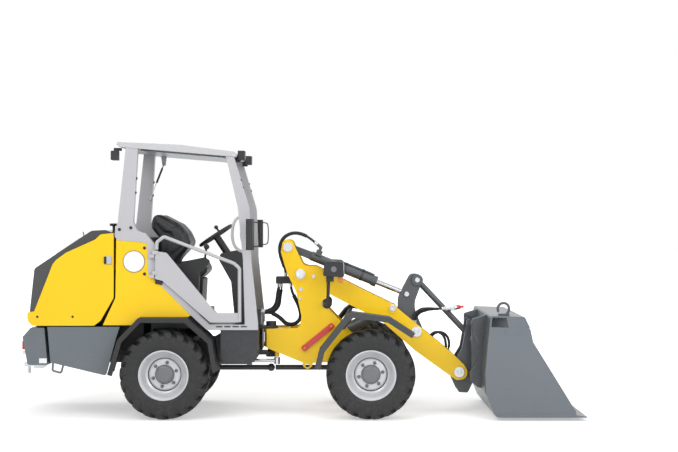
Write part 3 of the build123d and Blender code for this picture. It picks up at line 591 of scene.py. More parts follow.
class Shapes:
    """Bmesh building blocks, placed in millimetres from the steering pivot."""

    @staticmethod
    def prism(bm: bmesh.types.BMesh, outline: list[tuple[float, float]], y0: float,
              y1: float) -> None:
        """Add a side-view outline carried across from one y to another.

        Args:
            bm: the shape to add to.
            outline: x and z of each corner.
            y0: first side.
            y1: other side.
        """
        near = [bm.verts.new(at(x, y0, z)) for x, z in outline]
        far = [bm.verts.new(at(x, y1, z)) for x, z in outline]
        bm.faces.new(near)
        bm.faces.new(list(reversed(far)))
        for i, vert in enumerate(near):
            k = (i + 1) % len(near)
            bm.faces.new((vert, near[k], far[k], far[i]))

    @staticmethod
    def block(bm: bmesh.types.BMesh, x: tuple[float, float], y: tuple[float, float],
              z: tuple[float, float]) -> None:
        """Add a block between pairs of x, y and z."""
        Shapes.prism(bm, [(x[0], z[0]), (x[1], z[0]), (x[1], z[1]), (x[0], z[1])], *y)

    @staticmethod
    def lathe(bm: bmesh.types.BMesh, centre: Vector, axis: Vector,
              profile: list[tuple[float, float]], steps: int = 48) -> None:
        """Turn a profile about an axis.

        Args:
            bm: the shape to add to.
            centre: a point on the axis, in metres.
            axis: the axis, which "along" grows in.
            profile: radius and place along the axis of each point, in millimetres.
            steps: points round the axis.
        """
        turn = axis.normalized().to_track_quat("Z", "Y")
        rings = []
        for radius, along in profile:
            if radius <= 0.0:
                rings.append([bm.verts.new(centre + turn @ Vector((0.0, 0.0, along * MM)))])
                continue
            ring = []
            for i in range(steps):
                angle = 2.0 * math.pi * i / steps
                spot = Vector((math.cos(angle) * radius, math.sin(angle) * radius, along))
                ring.append(bm.verts.new(centre + turn @ (spot * MM)))
            rings.append(ring)
        for low, high in zip(rings, rings[1:]):
            for i in range(steps):
                k = (i + 1) % steps
                if len(low) == 1:
                    bm.faces.new((low[0], high[i], high[k]))
                elif len(high) == 1:
                    bm.faces.new((low[i], low[k], high[0]))
                else:
                    bm.faces.new((low[i], low[k], high[k], high[i]))
        for ring in (rings[0], rings[-1]):
            if len(ring) > 1 and profile[0] != profile[-1]:
                bm.faces.new(ring)

    @staticmethod
    def disc(bm: bmesh.types.BMesh, x: float, z: float, y: float, side: Side, radius: float,
             height: float, edge: float = 2.0, steps: int = 32) -> None:
        """Add a low round boss with a chamfered rim on a side face.

        Args:
            bm: the shape to add to.
            x: centre along the machine.
            z: centre above the floor.
            y: the face that it sits on.
            side: the side that it looks to.
            radius: its radius.
            height: how far it stands out.
            edge: width of its chamfer.
            steps: points round it.
        """
        profile = [(0.0, 0.0), (radius, 0.0), (radius, height - edge), (radius - edge, height),
                   (0.0, height)]
        Shapes.lathe(bm, at(x, y, z), side.out, profile, steps)

    @staticmethod
    def bar(bm: bmesh.types.BMesh, start: Point, end: Point, radius: float,
            steps: int = 20) -> None:
        """Add a round bar with eased ends between two places in millimetres."""
        p, q = at(*start), at(*end)
        size = (q - p).length / MM
        ease = min(1.5, radius * 0.3)
        profile = [(0.0, 0.0), (radius - ease, 0.0), (radius, ease), (radius, size - ease),
                   (radius - ease, size), (0.0, size)]
        Shapes.lathe(bm, p, q - p, profile, steps)

    @staticmethod
    def softened(name: str, bm: bmesh.types.BMesh, width: float = 2.0,
                 segments: int = 2) -> bpy.types.Mesh:
        """Close a bmesh with its sharp edges rounded.

        Args:
            name: the mesh's name.
            bm: the shape, which is freed.
            width: the rounding's width in millimetres.
            segments: steps across the rounding.

        Returns:
            The mesh.
        """
        holder = Pieces.live(name, Pieces.from_bmesh(name, bm))
        Shapes.rounded(holder, width, segments, 40.0)
        return Pieces.baked(holder)

    @staticmethod
    def rounded(holder: bpy.types.Object, width: float, segments: int, limit: float) -> None:
        """Round an object's edges that are sharper than a limit.

        Args:
            holder: the object.
            width: the rounding's width in millimetres.
            segments: steps across the rounding.
            limit: edges flatter than this many degrees stay as they are.
        """
        bevel = holder.modifiers.new("bevel", "BEVEL")
        bevel.width = width * MM
        bevel.segments = segments
        bevel.limit_method = "ANGLE"
        bevel.angle_limit = math.radians(limit)

    @staticmethod
    def eased(name: str, bm: bmesh.types.BMesh, finish: Finish, body: str, width: float = 2.0,
              segments: int = 2) -> bpy.types.Object:
        """Close a bmesh with its sharp edges rounded and put it on a body."""
        return Pieces.add(name, Shapes.softened(name, bm, width, segments), finish, body)


class Patterns:
    """Geometry-node trees that repeat one part."""

    def _start(self, name: str, sockets: list[tuple[str, str, object]]) -> tuple:
        """Start a tree with a part coming in and geometry going out.

        Args:
            name: the tree's name.
            sockets: name, type and default of each further input.

        Returns:
            The tree's graph, its input sockets and its output node.
        """
        tree = bpy.data.node_groups.new(name, "GeometryNodeTree")
        tree.interface.new_socket("Part", in_out="INPUT", socket_type="NodeSocketGeometry")
        for label, kind, value in sockets:
            socket = tree.interface.new_socket(label, in_out="INPUT", socket_type=kind)
            if value is not None:
                socket.default_value = value
        tree.interface.new_socket("Geometry", in_out="OUTPUT", socket_type="NodeSocketGeometry")
        g_in = tree.nodes.new("NodeGroupInput")
        return Graph(tree), g_in.outputs, tree.nodes.new("NodeGroupOutput")

    def _end(self, graph: Graph, given: bpy.types.NodeOutputs, g_out: bpy.types.Node,
             inputs: dict[str, bpy.types.NodeSocket]) -> bpy.types.NodeTree:
        """Place the copies, make them real and give them their material.

        Args:
            graph: the tree's graph.
            given: its input sockets.
            g_out: its output node.
            inputs: what feeds the node that places the copies.

        Returns:
            The finished tree.
        """
        place = graph.add("GeometryNodeInstanceOnPoints", inputs)
        real = graph.add("GeometryNodeRealizeInstances", {"Geometry": place.outputs["Instances"]})
        paint = graph.add("GeometryNodeSetMaterial", {
            "Geometry": real.outputs["Geometry"], "Material": given["Material"]})
        graph.feed(g_out, {"Geometry": paint.outputs["Geometry"]})
        return graph.tree

    def ring(self) -> bpy.types.NodeTree:
        """Copies of a part turned round an axle that lies along y.

        Returns:
            The tree, with Count, Centre, Turn and Material.
        """
        known = bpy.data.node_groups.get("Ring Of Parts")
        if known:
            return known
        graph, given, g_out = self._start("Ring Of Parts", [
            ("Count", "NodeSocketInt", 6), ("Centre", "NodeSocketVector", (0.0, 0.0, 0.0)),
            ("Turn", "NodeSocketFloat", 0.0), ("Material", "NodeSocketMaterial", None)])
        points = graph.add("GeometryNodePoints", {"Count": given["Count"], "Position": given["Centre"]})
        index = graph.add("GeometryNodeInputIndex")
        share = graph.math("DIVIDE", index.outputs[0], given["Count"])
        angle = graph.math("MULTIPLY_ADD", share, 2.0 * math.pi, given["Turn"])
        euler = graph.add("ShaderNodeCombineXYZ", {"Y": angle})
        return self._end(graph, given, g_out, {
            "Points": points.outputs[0], "Instance": given["Part"], "Rotation": euler.outputs[0]})

    def row(self) -> bpy.types.NodeTree:
        """Copies of a part in a straight row.

        Returns:
            The tree, with Count, Step and Material.
        """
        known = bpy.data.node_groups.get("Row Of Parts")
        if known:
            return known
        graph, given, g_out = self._start("Row Of Parts", [
            ("Count", "NodeSocketInt", 6), ("Step", "NodeSocketVector", (0.0, 0.0, 0.05)),
            ("Material", "NodeSocketMaterial", None)])
        index = graph.add("GeometryNodeInputIndex")
        scale = graph.add("ShaderNodeVectorMath", {0: given["Step"], "Scale": index.outputs[0]},
                          operation="SCALE")
        points = graph.add("GeometryNodePoints", {"Count": given["Count"], "Position": scale.outputs[0]})
        return self._end(graph, given, g_out, {"Points": points.outputs[0], "Instance": given["Part"]})

    def bolts(self) -> bpy.types.NodeTree:
        """A bolt head on every point, looking the way that the point's facing says.

        Returns:
            The tree, with Radius, Height and Material.
        """
        known = bpy.data.node_groups.get("Bolts On Points")
        if known:
            return known
        graph, given, g_out = self._start("Bolts On Points", [
            ("Radius", "NodeSocketFloat", 0.009), ("Height", "NodeSocketFloat", 0.006),
            ("Material", "NodeSocketMaterial", None)])
        wide = graph.math("MULTIPLY", given["Radius"], 1.5)
        thin = graph.math("MULTIPLY", given["Height"], 0.5)
        washer = graph.add("GeometryNodeMeshCylinder", {"Vertices": 24, "Radius": wide, "Depth": thin})
        head = graph.add("GeometryNodeMeshCylinder", {
            "Vertices": 6, "Radius": given["Radius"], "Depth": given["Height"]})
        lift = graph.add("ShaderNodeCombineXYZ", {"Z": thin})
        raised = graph.add("GeometryNodeTransform", {
            "Geometry": head.outputs["Mesh"], "Translation": lift.outputs[0]})
        both = graph.add("GeometryNodeJoinGeometry", {0: washer.outputs["Mesh"]})
        graph.feed(both, {0: raised.outputs["Geometry"]})
        facing = graph.add("GeometryNodeInputNamedAttribute", {"Name": "facing"}, data_type="FLOAT_VECTOR")
        align = graph.add("FunctionNodeAlignRotationToVector", {"Vector": facing.outputs["Attribute"]},
                          axis="Z")
        return self._end(graph, given, g_out, {
            "Points": given["Part"], "Instance": both.outputs[0], "Rotation": align.outputs[0]})

    @staticmethod
    def run(tree: bpy.types.NodeTree, part: bpy.types.Mesh,
            values: dict[str, object]) -> bpy.types.Mesh:
        """Run a tree on a part and keep the result as a plain mesh.

        Args:
            tree: the tree.
            part: the mesh that goes in.
            values: the other inputs by name.

        Returns:
            The repeated mesh.
        """
        holder = Pieces.live(part.name, part)
        pattern = holder.modifiers.new("pattern", "NODES")
        pattern.node_group = tree
        keys = {item.name: item.identifier for item in tree.interface.items_tree
                if item.item_type == "SOCKET" and item.in_out == "INPUT"}
        for label, value in values.items():
            pattern[keys[label]] = value
        return Pieces.baked(holder)

    def bolt_field(self, name: str, spots: list[tuple[Point, Point]], radius: float, height: float,
                   finish: Finish, body: str) -> None:
        """Put bolts on a body.

        Args:
            name: the piece's name.
            spots: place in millimetres and facing of each bolt.
            radius: the head's radius in millimetres.
            height: the head's height in millimetres.
            finish: what they are made of.
            body: the body that they move with.
        """
        mesh = bpy.data.meshes.new(name)
        mesh.from_pydata([at(*place) for place, _ in spots], [], [])
        facing = mesh.attributes.new("facing", "FLOAT_VECTOR", "POINT")
        for i, (_, look) in enumerate(spots):
            facing.data[i].vector = look
        made = self.run(self.bolts(), mesh, {"Radius": radius * MM, "Height": height * MM,
                                             "Material": finish.material()})
        Pieces.add(name, made, finish, body)


PATTERNS = Patterns()


@dataclass
class Wheel:
    """One wheel: lugged tyre, rim with its disc, hub and nuts.

    Attributes:
        tag: the wheel's letters in the frame's names.
        x: the axle's place along the machine.
        side: the side of the machine.
        half_track: half the track.
        axle_z: the axle's height.
        lugs: lugs on each side.
        turn: the wheel's turn at rest, in degrees.
    """

    tag: str
    x: float
    side: Side
    half_track: float = 483.0
    axle_z: float = 380.0
    lugs: int = 20
    turn: float = 0.0

    CARCASS = [(201.0, -96.0), (207.0, -112.0), (222.0, -119.0), (246.0, -125.0), (276.0, -130.0),
               (304.0, -129.0), (326.0, -123.0), (338.0, -110.0), (344.0, -88.0), (348.0, -50.0),
               (350.0, 0.0), (348.0, 50.0), (344.0, 88.0), (338.0, 110.0), (326.0, 123.0),
               (304.0, 129.0), (276.0, 130.0), (246.0, 125.0), (222.0, 119.0), (207.0, 112.0),
               (201.0, 96.0)]
    LUG = [(3.0, 379.5, 0.0, 21.0), (30.0, 379.5, 3.2, 22.0), (58.0, 379.0, 6.6, 24.0),
           (86.0, 376.0, 9.8, 26.5), (106.0, 369.0, 11.6, 29.0), (119.0, 352.0, 12.4, 30.0),
           (127.5, 330.0, 12.8, 28.0),
           (130.8, 312.0, 13.0, 24.0)]
    RIBS = [(236.0, 123.6), (240.0, 125.6), (244.0, 126.4), (248.0, 126.6), (252.0, 126.4), (256.0, 125.4)]

    RIM_PROFILE = [(200.0, -108.0), (213.0, -114.0), (213.0, -121.0), (204.0, -121.0), (190.0, -106.0),
                   (186.0, -60.0), (166.0, -44.0), (164.0, -14.0), (96.0, -14.0), (95.0, -140.0),
                   (41.0, -140.0), (41.0, -20.0), (30.0, -18.0), (30.0, 34.0), (80.0, 34.0),
                   (118.0, 30.0), (136.0, 24.0), (140.0, 20.0), (143.0, 34.0), (150.0, 40.0),
                   (158.0, 44.0), (168.0, 58.0), (184.0, 92.0), (190.0, 104.0), (197.0, 111.0),
                   (204.0, 120.0), (209.0, 121.0), (213.0, 118.0), (213.0, 114.0), (200.0, 110.0),
                   (199.0, 64.0), (178.0, 50.0), (178.0, -50.0), (199.0, -64.0), (200.0, -108.0)]
    CAP_PROFILE = [(0.0, 30.0), (84.0, 33.0), (82.0, 40.0), (78.0, 58.0), (72.0, 66.0), (62.0, 70.0),
                   (58.0, 74.0), (30.0, 76.0), (0.0, 77.0)]
    # black ring in the rim's groove round the disc: painted shade
    GROOVE_SHADE_PROFILE = [(137.0, 24.5), (139.5, 21.5), (142.0, 31.0), (141.0, 34.0), (138.0, 27.0), (137.0, 24.5)]
    NUT_PROFILE = [(0.0, 30.0), (16.5, 30.0), (16.5, 34.0), (13.0, 35.0), (12.0, 46.0), (9.0, 48.0),
                   (0.0, 48.5)]
    STUD_PROFILE = [(0.0, 48.0), (6.0, 48.0), (6.0, 54.0), (4.0, 56.0), (0.0, 56.0)]
    BOLT_CIRCLE = 103.0
    NUTS = 6
    NUT_TURN = 12.0

    def centre(self) -> Vector:
        """The wheel's centre in the frame's metres."""
        return at(self.x, self.half_track * self.side.value, self.axle_z)

    def outward(self) -> Vector:
        """The way that the wheel's outer face looks."""
        return self.side.out

    def turn_round(self, bm: bmesh.types.BMesh, profile: list[tuple[float, float]],
                   steps: int) -> None:
        """Turn a profile about the wheel's axle."""
        Shapes.lathe(bm, self.centre(), self.outward(), profile, steps)

    def lug(self) -> bpy.types.Mesh:
        """A pair of lugs about the origin, one each side of the middle."""
        bm = bmesh.new()
        pitch = 2.0 * math.pi / self.lugs
        for hand, shift in ((1, 0.0), (-1, pitch * 0.5)):
            rows = []
            for y, top, lean, half in self.LUG:
                row = []
                angle = shift + math.radians(lean) * 1.25
                low = min(top - 20.0, 340.0)
                for radius, width in ((low, half + 5.0), (top, half)):
                    for way in (-1, 1):
                        a = angle + way * width / radius
                        across = y - (6.0 if radius == low else 0.0)
                        spot = Vector((math.sin(a) * radius, hand * across, math.cos(a) * radius))
                        row.append(bm.verts.new(spot * MM))
                rows.append((row[0], row[1], row[3], row[2]))
            for a, b in zip(rows, rows[1:]):
                for i in range(4):
                    k = (i + 1) % 4
                    bm.faces.new((a[i], a[k], b[k], b[i]))
            bm.faces.new(rows[0])
            bm.faces.new(list(reversed(rows[-1])))
        return Shapes.softened("lug", bm, 4.0)

    def tyre(self) -> None:
        """Carcass and lugs, in place of the plain tyre."""
        bm = bmesh.new()
        self.turn_round(bm, self.CARCASS + [(196.0, 0.0), self.CARCASS[0]], 96)
        for hand in (1, -1):
            ribs = [(r, y * hand) for r, y in self.RIBS]
            self.turn_round(bm, ribs + [(246.0, 118.0 * hand), ribs[0]], 96)
        carcass = Pieces.from_bmesh("carcass_" + self.tag, bm, 50.0)
        lugs = Patterns.run(PATTERNS.ring(), self.lug(), {
            "Count": self.lugs, "Centre": self.centre(), "Turn": math.radians(self.turn),
            "Material": RUBBER.material()})
        mesh = Pieces.joined("tyre_" + self.tag, [carcass, lugs])
        tyre = Pieces.add("tyre_look_" + self.tag, mesh, RUBBER, "wheel_" + self.tag, "tyre")
        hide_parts("tyre_" + self.tag)

    def rim(self) -> None:
        """Rim, dished disc, hub and nuts, in place of the plain rim, with a black ring of painted shade in
        the groove round the disc.
        """
        bm = bmesh.new()
        self.turn_round(bm, self.RIM_PROFILE, 72)
        rim = Pieces.add("rim_look_" + self.tag, Pieces.from_bmesh("rim_" + self.tag, bm, 28.0), RIM,
                         "wheel_" + self.tag, "rim_paint")
        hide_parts("rim_" + self.tag)
        bm = bmesh.new()
        self.turn_round(bm, self.CAP_PROFILE, 48)
        Pieces.shaded("hub_cap_" + self.tag, bm, HUB, "wheel_" + self.tag)
        # painted shade: a black ring that fills the groove round the disc
        bm = bmesh.new()
        self.turn_round(bm, self.GROOVE_SHADE_PROFILE, 72)
        Pieces.shaded("rim_groove_shade_" + self.tag, bm, CHASSIS, "wheel_" + self.tag, 60.0)
        nut = bmesh.new()
        base = Vector((0.0, 0.0, self.BOLT_CIRCLE * MM))
        Shapes.lathe(nut, base, self.outward(), self.NUT_PROFILE, 6)
        Shapes.lathe(nut, base, self.outward(), self.STUD_PROFILE, 12)
        mesh = Patterns.run(PATTERNS.ring(), Pieces.from_bmesh("nut", nut, 30.0), {
            "Count": self.NUTS, "Centre": self.centre(), "Turn": math.radians(self.turn + self.NUT_TURN),
            "Material": HUB.material()})
        Pieces.add("wheel_nuts_" + self.tag, mesh, HUB, "wheel_" + self.tag)

    def build(self) -> None:
        """Build the whole wheel."""
        self.tyre()
        self.rim()


class Tube:
    """Round tubes along a smooth line."""

    @staticmethod
    def flat(route: list[tuple[float, float]], y: float) -> list[Point]:
        """A side-view route as places at one y."""
        return [(x, y, z) for x, z in route]

    @staticmethod
    def line(route: list[Point]) -> list[Vector]:
        """Points along the smooth line that a route's control points give.

        Args:
            route: control points in millimetres.

        Returns:
            The points in metres.
        """
        data = bpy.data.curves.new("route", "CURVE")
        data.dimensions = "3D"
        data.resolution_u = 10
        spline = data.splines.new("NURBS")
        spline.points.add(len(route) - 1)
        for point, spot in zip(spline.points, route):
            point.co = (*at(*spot), 1.0)
        spline.order_u = 3
        spline.use_endpoint_u = True
        mesh = Pieces.baked(Pieces.live("route", data))
        return [vert.co.copy() for vert in mesh.vertices]

    @staticmethod
    def sweep(bm: bmesh.types.BMesh, line: list[Vector], radius: float, steps: int = 14) -> None:
        """Carry a circle along a line, with closed ends.

        Args:
            bm: the shape to add to.
            line: points in metres.
            radius: radius in metres.
            steps: points round the hose.
        """
        side = None
        rings = []
        for i, spot in enumerate(line):
            ahead = (line[min(i + 1, len(line) - 1)] - line[max(i - 1, 0)]).normalized()
            if side is None:
                side = ahead.orthogonal().normalized()
            side = (side - ahead * side.dot(ahead)).normalized()
            up = ahead.cross(side)
            rings.append([bm.verts.new(spot + (side * math.cos(a) + up * math.sin(a)) * radius)
                          for a in (2.0 * math.pi * k / steps for k in range(steps))])
        for low, high in zip(rings, rings[1:]):
            for i in range(steps):
                k = (i + 1) % steps
                bm.faces.new((low[i], low[k], high[k], high[i]))
        bm.faces.new(rings[0])
        bm.faces.new(list(reversed(rings[-1])))


@dataclass
class Hose:
    """One hydraulic hose with its crimped ends.

    Attributes:
        name: the piece's name.
        node: the frame's node that it stands for.
        route: control points in millimetres.
        diameter: outer diameter in millimetres.
        start_body: the body that holds its first end.
        end_body: the body that holds its last end.
        sleeve: thickness of its woven sleeve in millimetres.
        via: the body between those two, where the hose crosses two joints.
    """

    name: str
    node: str
    route: list[Point]
    diameter: float
    start_body: str
    end_body: str
    sleeve: float = 3.5
    via: str = ""

    HELD = 3
    SMOOTH = 60.0

    def placed(self, name: str, line: list[Vector], radius: float, finish: Finish,
               bodies: tuple[str, str]) -> bpy.types.Object:
        """Lay a tube on its body, or leave it unattached in its resting place where its ends are on two
        bodies.

        Args:
            name: the piece's name.
            line: points that it follows, in metres.
            radius: its radius in metres.
            finish: what it is covered with.
            bodies: the bodies at its first and its last end.

        Returns:
            The new object.
        """
        bm = bmesh.new()
        Tube.sweep(bm, line, radius)
        mesh = Pieces.from_bmesh(name, bm, self.SMOOTH)
        if bodies[0] == bodies[1]:
            return Pieces.add(name, mesh, finish, bodies[0], "hose_rubber")
        tube = Pieces.live(name, mesh)
        mesh.materials.append(finish.material())
        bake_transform(tube)
        return tube

    def ferrule(self, tag: str, end: Vector, into: Vector, body: str) -> bpy.types.Object:
        """A crimped steel end.

        Args:
            tag: which end, for the name.
            end: the hose's end in metres.
            into: the way along the hose from that end.
            body: the body that holds it.

        Returns:
            The new object.
        """
        r = self.diameter * 0.5
        bm = bmesh.new()
        profile = [(r * 0.6, 0.0), (r + 3.0, 0.0), (r + 3.0, 9.0), (r + 1.2, 10.0), (r + 1.2, 13.0),
                   (r + 2.4, 14.0), (r + 2.4, 30.0), (r + 1.0, 32.0), (r * 0.6, 32.0), (r * 0.6, 0.0)]
        Shapes.lathe(bm, end, into, profile, 18)
        return Pieces.shaded(self.name + "_ferrule_" + tag, bm, ZINC, body)

    def splice(self, spot: Vector, along: Vector) -> bpy.types.Object:
        """A crimped joiner where the hose crosses from one joint to the next.

        Args:
            spot: its middle in metres.
            along: the way of the hose there.

        Returns:
            The new object.
        """
        r = self.diameter * 0.5 + self.sleeve
        bm = bmesh.new()
        profile = [(r - 2.0, -15.0), (r + 1.0, -15.0), (r + 2.0, -12.0), (r + 2.0, 12.0),
                   (r + 1.0, 15.0), (r - 2.0, 15.0), (r - 2.0, -15.0)]
        Shapes.lathe(bm, spot, along, profile, 18)
        return Pieces.shaded(self.name + "_splice", bm, PLASTIC, self.via)

    def lay(self, name: str, line: list[Vector], cover: list[Vector], bodies: tuple[str, str]) -> None:
        """Args:
            name: the piece's name.
            line: points along it, in metres.
            cover: the points that the sleeve follows.
            bodies: the bodies at its first and its last end.
        """
        radius = self.diameter * 0.5 * MM
        hose = self.placed(name, line, radius, HOSE, bodies)
        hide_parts(self.node)
        sleeve = self.placed(name + "_sleeve", cover, radius + self.sleeve * MM, SLEEVE, bodies)

    def build(self) -> None:
        """Lay the hose with its crimped ends, in two lengths where it crosses two joints."""
        line = Tube.line(self.route)
        skip = max(self.HELD, len(line) // 8)
        first = self.ferrule("start", line[0], line[1] - line[0], self.start_body)
        last = self.ferrule("end", line[-1], line[-2] - line[-1], self.end_body)
        if not self.via:
            self.lay(self.name, line, line[skip:-skip], (self.start_body, self.end_body))
            return
        half = len(line) // 2
        joiner = self.splice(line[half], line[half + 1] - line[half - 1])
        self.lay(self.name + "_lower", line[:half + 1], line[skip:half + 1],
                 (self.start_body, self.via))
        self.lay(self.name + "_upper", line[half:], line[half:-skip],
                 (self.via, self.end_body))


class HoseSet:
    """All the hoses of the machine."""

    LOOP = [(-85, 873), (-35, 873), (32, 854), (89.5, 813.5), (129.6, 769), (188.3, 758), (241.6, 785),
            (267.4, 839), (250, 925), (212, 1000), (176, 1075), (176, 1130)]
    FEEDS = ((-60, [(-85, 880), (-24, 880), (30, 902), (60, 955), (64, 1030), (76, 1080), (76, 1130)]),
             (0, [(-85, 860), (-22, 860), (38, 882), (76, 934), (82, 1012), (94, 1072), (94, 1130)]),
             (60, [(-85, 884), (-32, 884), (16, 908), (44, 962), (50, 1036), (62, 1084), (62, 1130)]))
    TOWER = [(130, 1190), (130, 1240), (104, 1310), (78, 1390), (76, 1475), (118, 1548), (196, 1582),
             (278, 1570), (352.4, 1528.6), (412.3, 1475.5)]
    COUPLERS = ([(1281, -85, 775), (1281, -85, 822), (1308, -85, 868), (1360, -85, 894), (1422, -85, 905),
                 (1484.9, -85, 907.8), (1542.4, -85, 913.55)],
                [(1262, -107, 775), (1262, -107, 828), (1284, -109, 880), (1334, -114, 908),
                 (1402, -122, 914), (1480, -132.5, 907.3), (1541.9, -135, 913.5)])
    NOSE = ((-48, [(1410, 566), (1410, 614), (1424, 664), (1464, 696), (1514, 700), (1556, 675), (1580, 632),
                   (1584, 582), (1576, 545), (1576, 512)]),
            (-78, [(1400, 566), (1400, 610), (1405, 660), (1436, 696), (1482, 704), (1522, 682), (1545, 640),
                   (1551, 588), (1556, 546), (1562, 512)]))

    def hoses(self) -> list[Hose]:
        """Every hose with its node and the bodies that hold it."""
        found = []
        for side in Side:
            loop = Tube.flat(self.LOOP, 32 * side.value)
            tower = Tube.flat(self.TOWER, 30 * side.value)
            found.append(Hose("loop_hose_" + side.tag, "pivot_hoses", loop, 20.0,
                              "rear_frame", "front_frame", 6.0))
            found.append(Hose("tower_hose_" + side.tag, "tower_hoses", tower, 20.0,
                              "front_frame", "tilt_pin", 5.0))
        for i, (y, route) in enumerate(self.FEEDS):
            found.append(Hose(f"feed_hose_{i}", "pivot_hoses", Tube.flat(route, y), 16.0,
                              "rear_frame", "front_frame"))
        for i, route in enumerate(self.COUPLERS):
            found.append(Hose(f"coupler_hose_{i}", "coupler_hoses", route, 18.0, "lever", "link",
                              via="link_pin"))
        for i, (y, route) in enumerate(self.NOSE):
            found.append(Hose(f"nose_hose_{i}", "nose_hoses", Tube.flat(route, y), 16.0, "boom", "boom"))
        return found

    def build(self) -> None:
        """Lay every hose."""
        for hose in self.hoses():
            hose.build()


@dataclass
class SeatPad:
    """One upholstered pad of the seat.

    Attributes:
        name: the piece's name.
        node: the frame's node that it stands for.
        outline: side view of the pad in millimetres.
        half: half its width.
        shrink: how much smaller it starts than the node, in millimetres.
        rounding: width of its rounded edges in millimetres.
        cell: grain of the cloth in millimetres.
        pressure: pressure of the stuffing.
        frames: frames that the cloth settles for.
        cap: the most that a point may move, in millimetres.
    """

    name: str
    node: str
    outline: list[tuple[float, float]]
    half: float
    shrink: float = 10.0
    rounding: float = 26.0
    cell: float = 8.0
    pressure: float = 4.0
    frames: int = 20
    cap: float = 9.0

    def build(self) -> None:
        """Stuff the pad and put it in the plain one's place."""
        bm = bmesh.new()
        Shapes.prism(bm, self.outline, -self.half + self.shrink, self.half - self.shrink)
        pad = Pieces.live(self.name, Pieces.from_bmesh(self.name, bm))
        Shapes.rounded(pad, self.rounding, 4, 35.0)
        pad = Pieces.live(self.name, Pieces.baked(pad))
        grid = pad.modifiers.new("grid", "REMESH")
        grid.mode = "VOXEL"
        grid.voxel_size = self.cell * MM
        mesh = Pieces.baked(pad)
        mesh = self.stuffed(mesh)
        for face in mesh.polygons:
            face.use_smooth = True
        piece = Pieces.add(self.name, mesh, VINYL, "rear_frame", "seat_cover")
        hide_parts(self.node)

    def stuffed(self, mesh: bpy.types.Mesh) -> bpy.types.Mesh:
        """Swell the pad with cloth under pressure.

        Args:
            mesh: the even-grained pad.

        Returns:
            The swollen pad, smoothed once.
        """
        start = [v.co.copy() for v in mesh.vertices]
        scene = bpy.context.scene
        pad = Pieces.live(self.name, mesh)
        cloth = pad.modifiers.new("cloth", "CLOTH")
        cloth.settings.use_pressure = True
        cloth.settings.uniform_pressure_force = self.pressure
        cloth.settings.effector_weights.gravity = 0.0
        cloth.point_cache.frame_start = 1
        cloth.point_cache.frame_end = self.frames
        for frame in range(1, self.frames + 1):
            scene.frame_set(frame)
        swollen = Pieces.baked(pad)
        cap = self.cap * MM
        for vert, home in zip(swollen.vertices, start):
            step = vert.co - home
            if step.length > cap:
                vert.co = home + step.normalized() * cap
        scene.frame_set(1)
        pad = Pieces.live(self.name, swollen)
        pad.modifiers.new("fine", "SUBSURF").levels = 1
        return Pieces.baked(pad)


class PinHeads:
    """Round pin ends with a raised rim and a centre dimple."""

    @staticmethod
    def add(name: str, spots: list[tuple[float, float, float, float]], finish: Finish, body: str,
            sides: tuple[Side, ...] = (Side.RIGHT, Side.LEFT)) -> None:
        """Put pin ends on the side faces of a body.

        Args:
            name: the piece's name.
            spots: x, z, distance of the face from the middle, and radius of each pin.
            finish: what they are covered with.
            body: the body that they move with.
            sides: the sides of the machine that have them.
        """
        bm = bmesh.new()
        for x, z, y, r in spots:
            for side in sides:
                Shapes.lathe(bm, at(x, y * side.value, z), side.out, [
                    (0.0, -1.0), (r, -1.0), (r, 4.0), (r - 2.5, 6.5), (r * 0.62, 6.5), (r * 0.55, 5.0),
                    (r * 0.2, 5.0), (r * 0.12, 3.5), (0.0, 3.0)], 36)
        Pieces.add(name, Pieces.from_bmesh(name, bm, 28.0), finish, body)


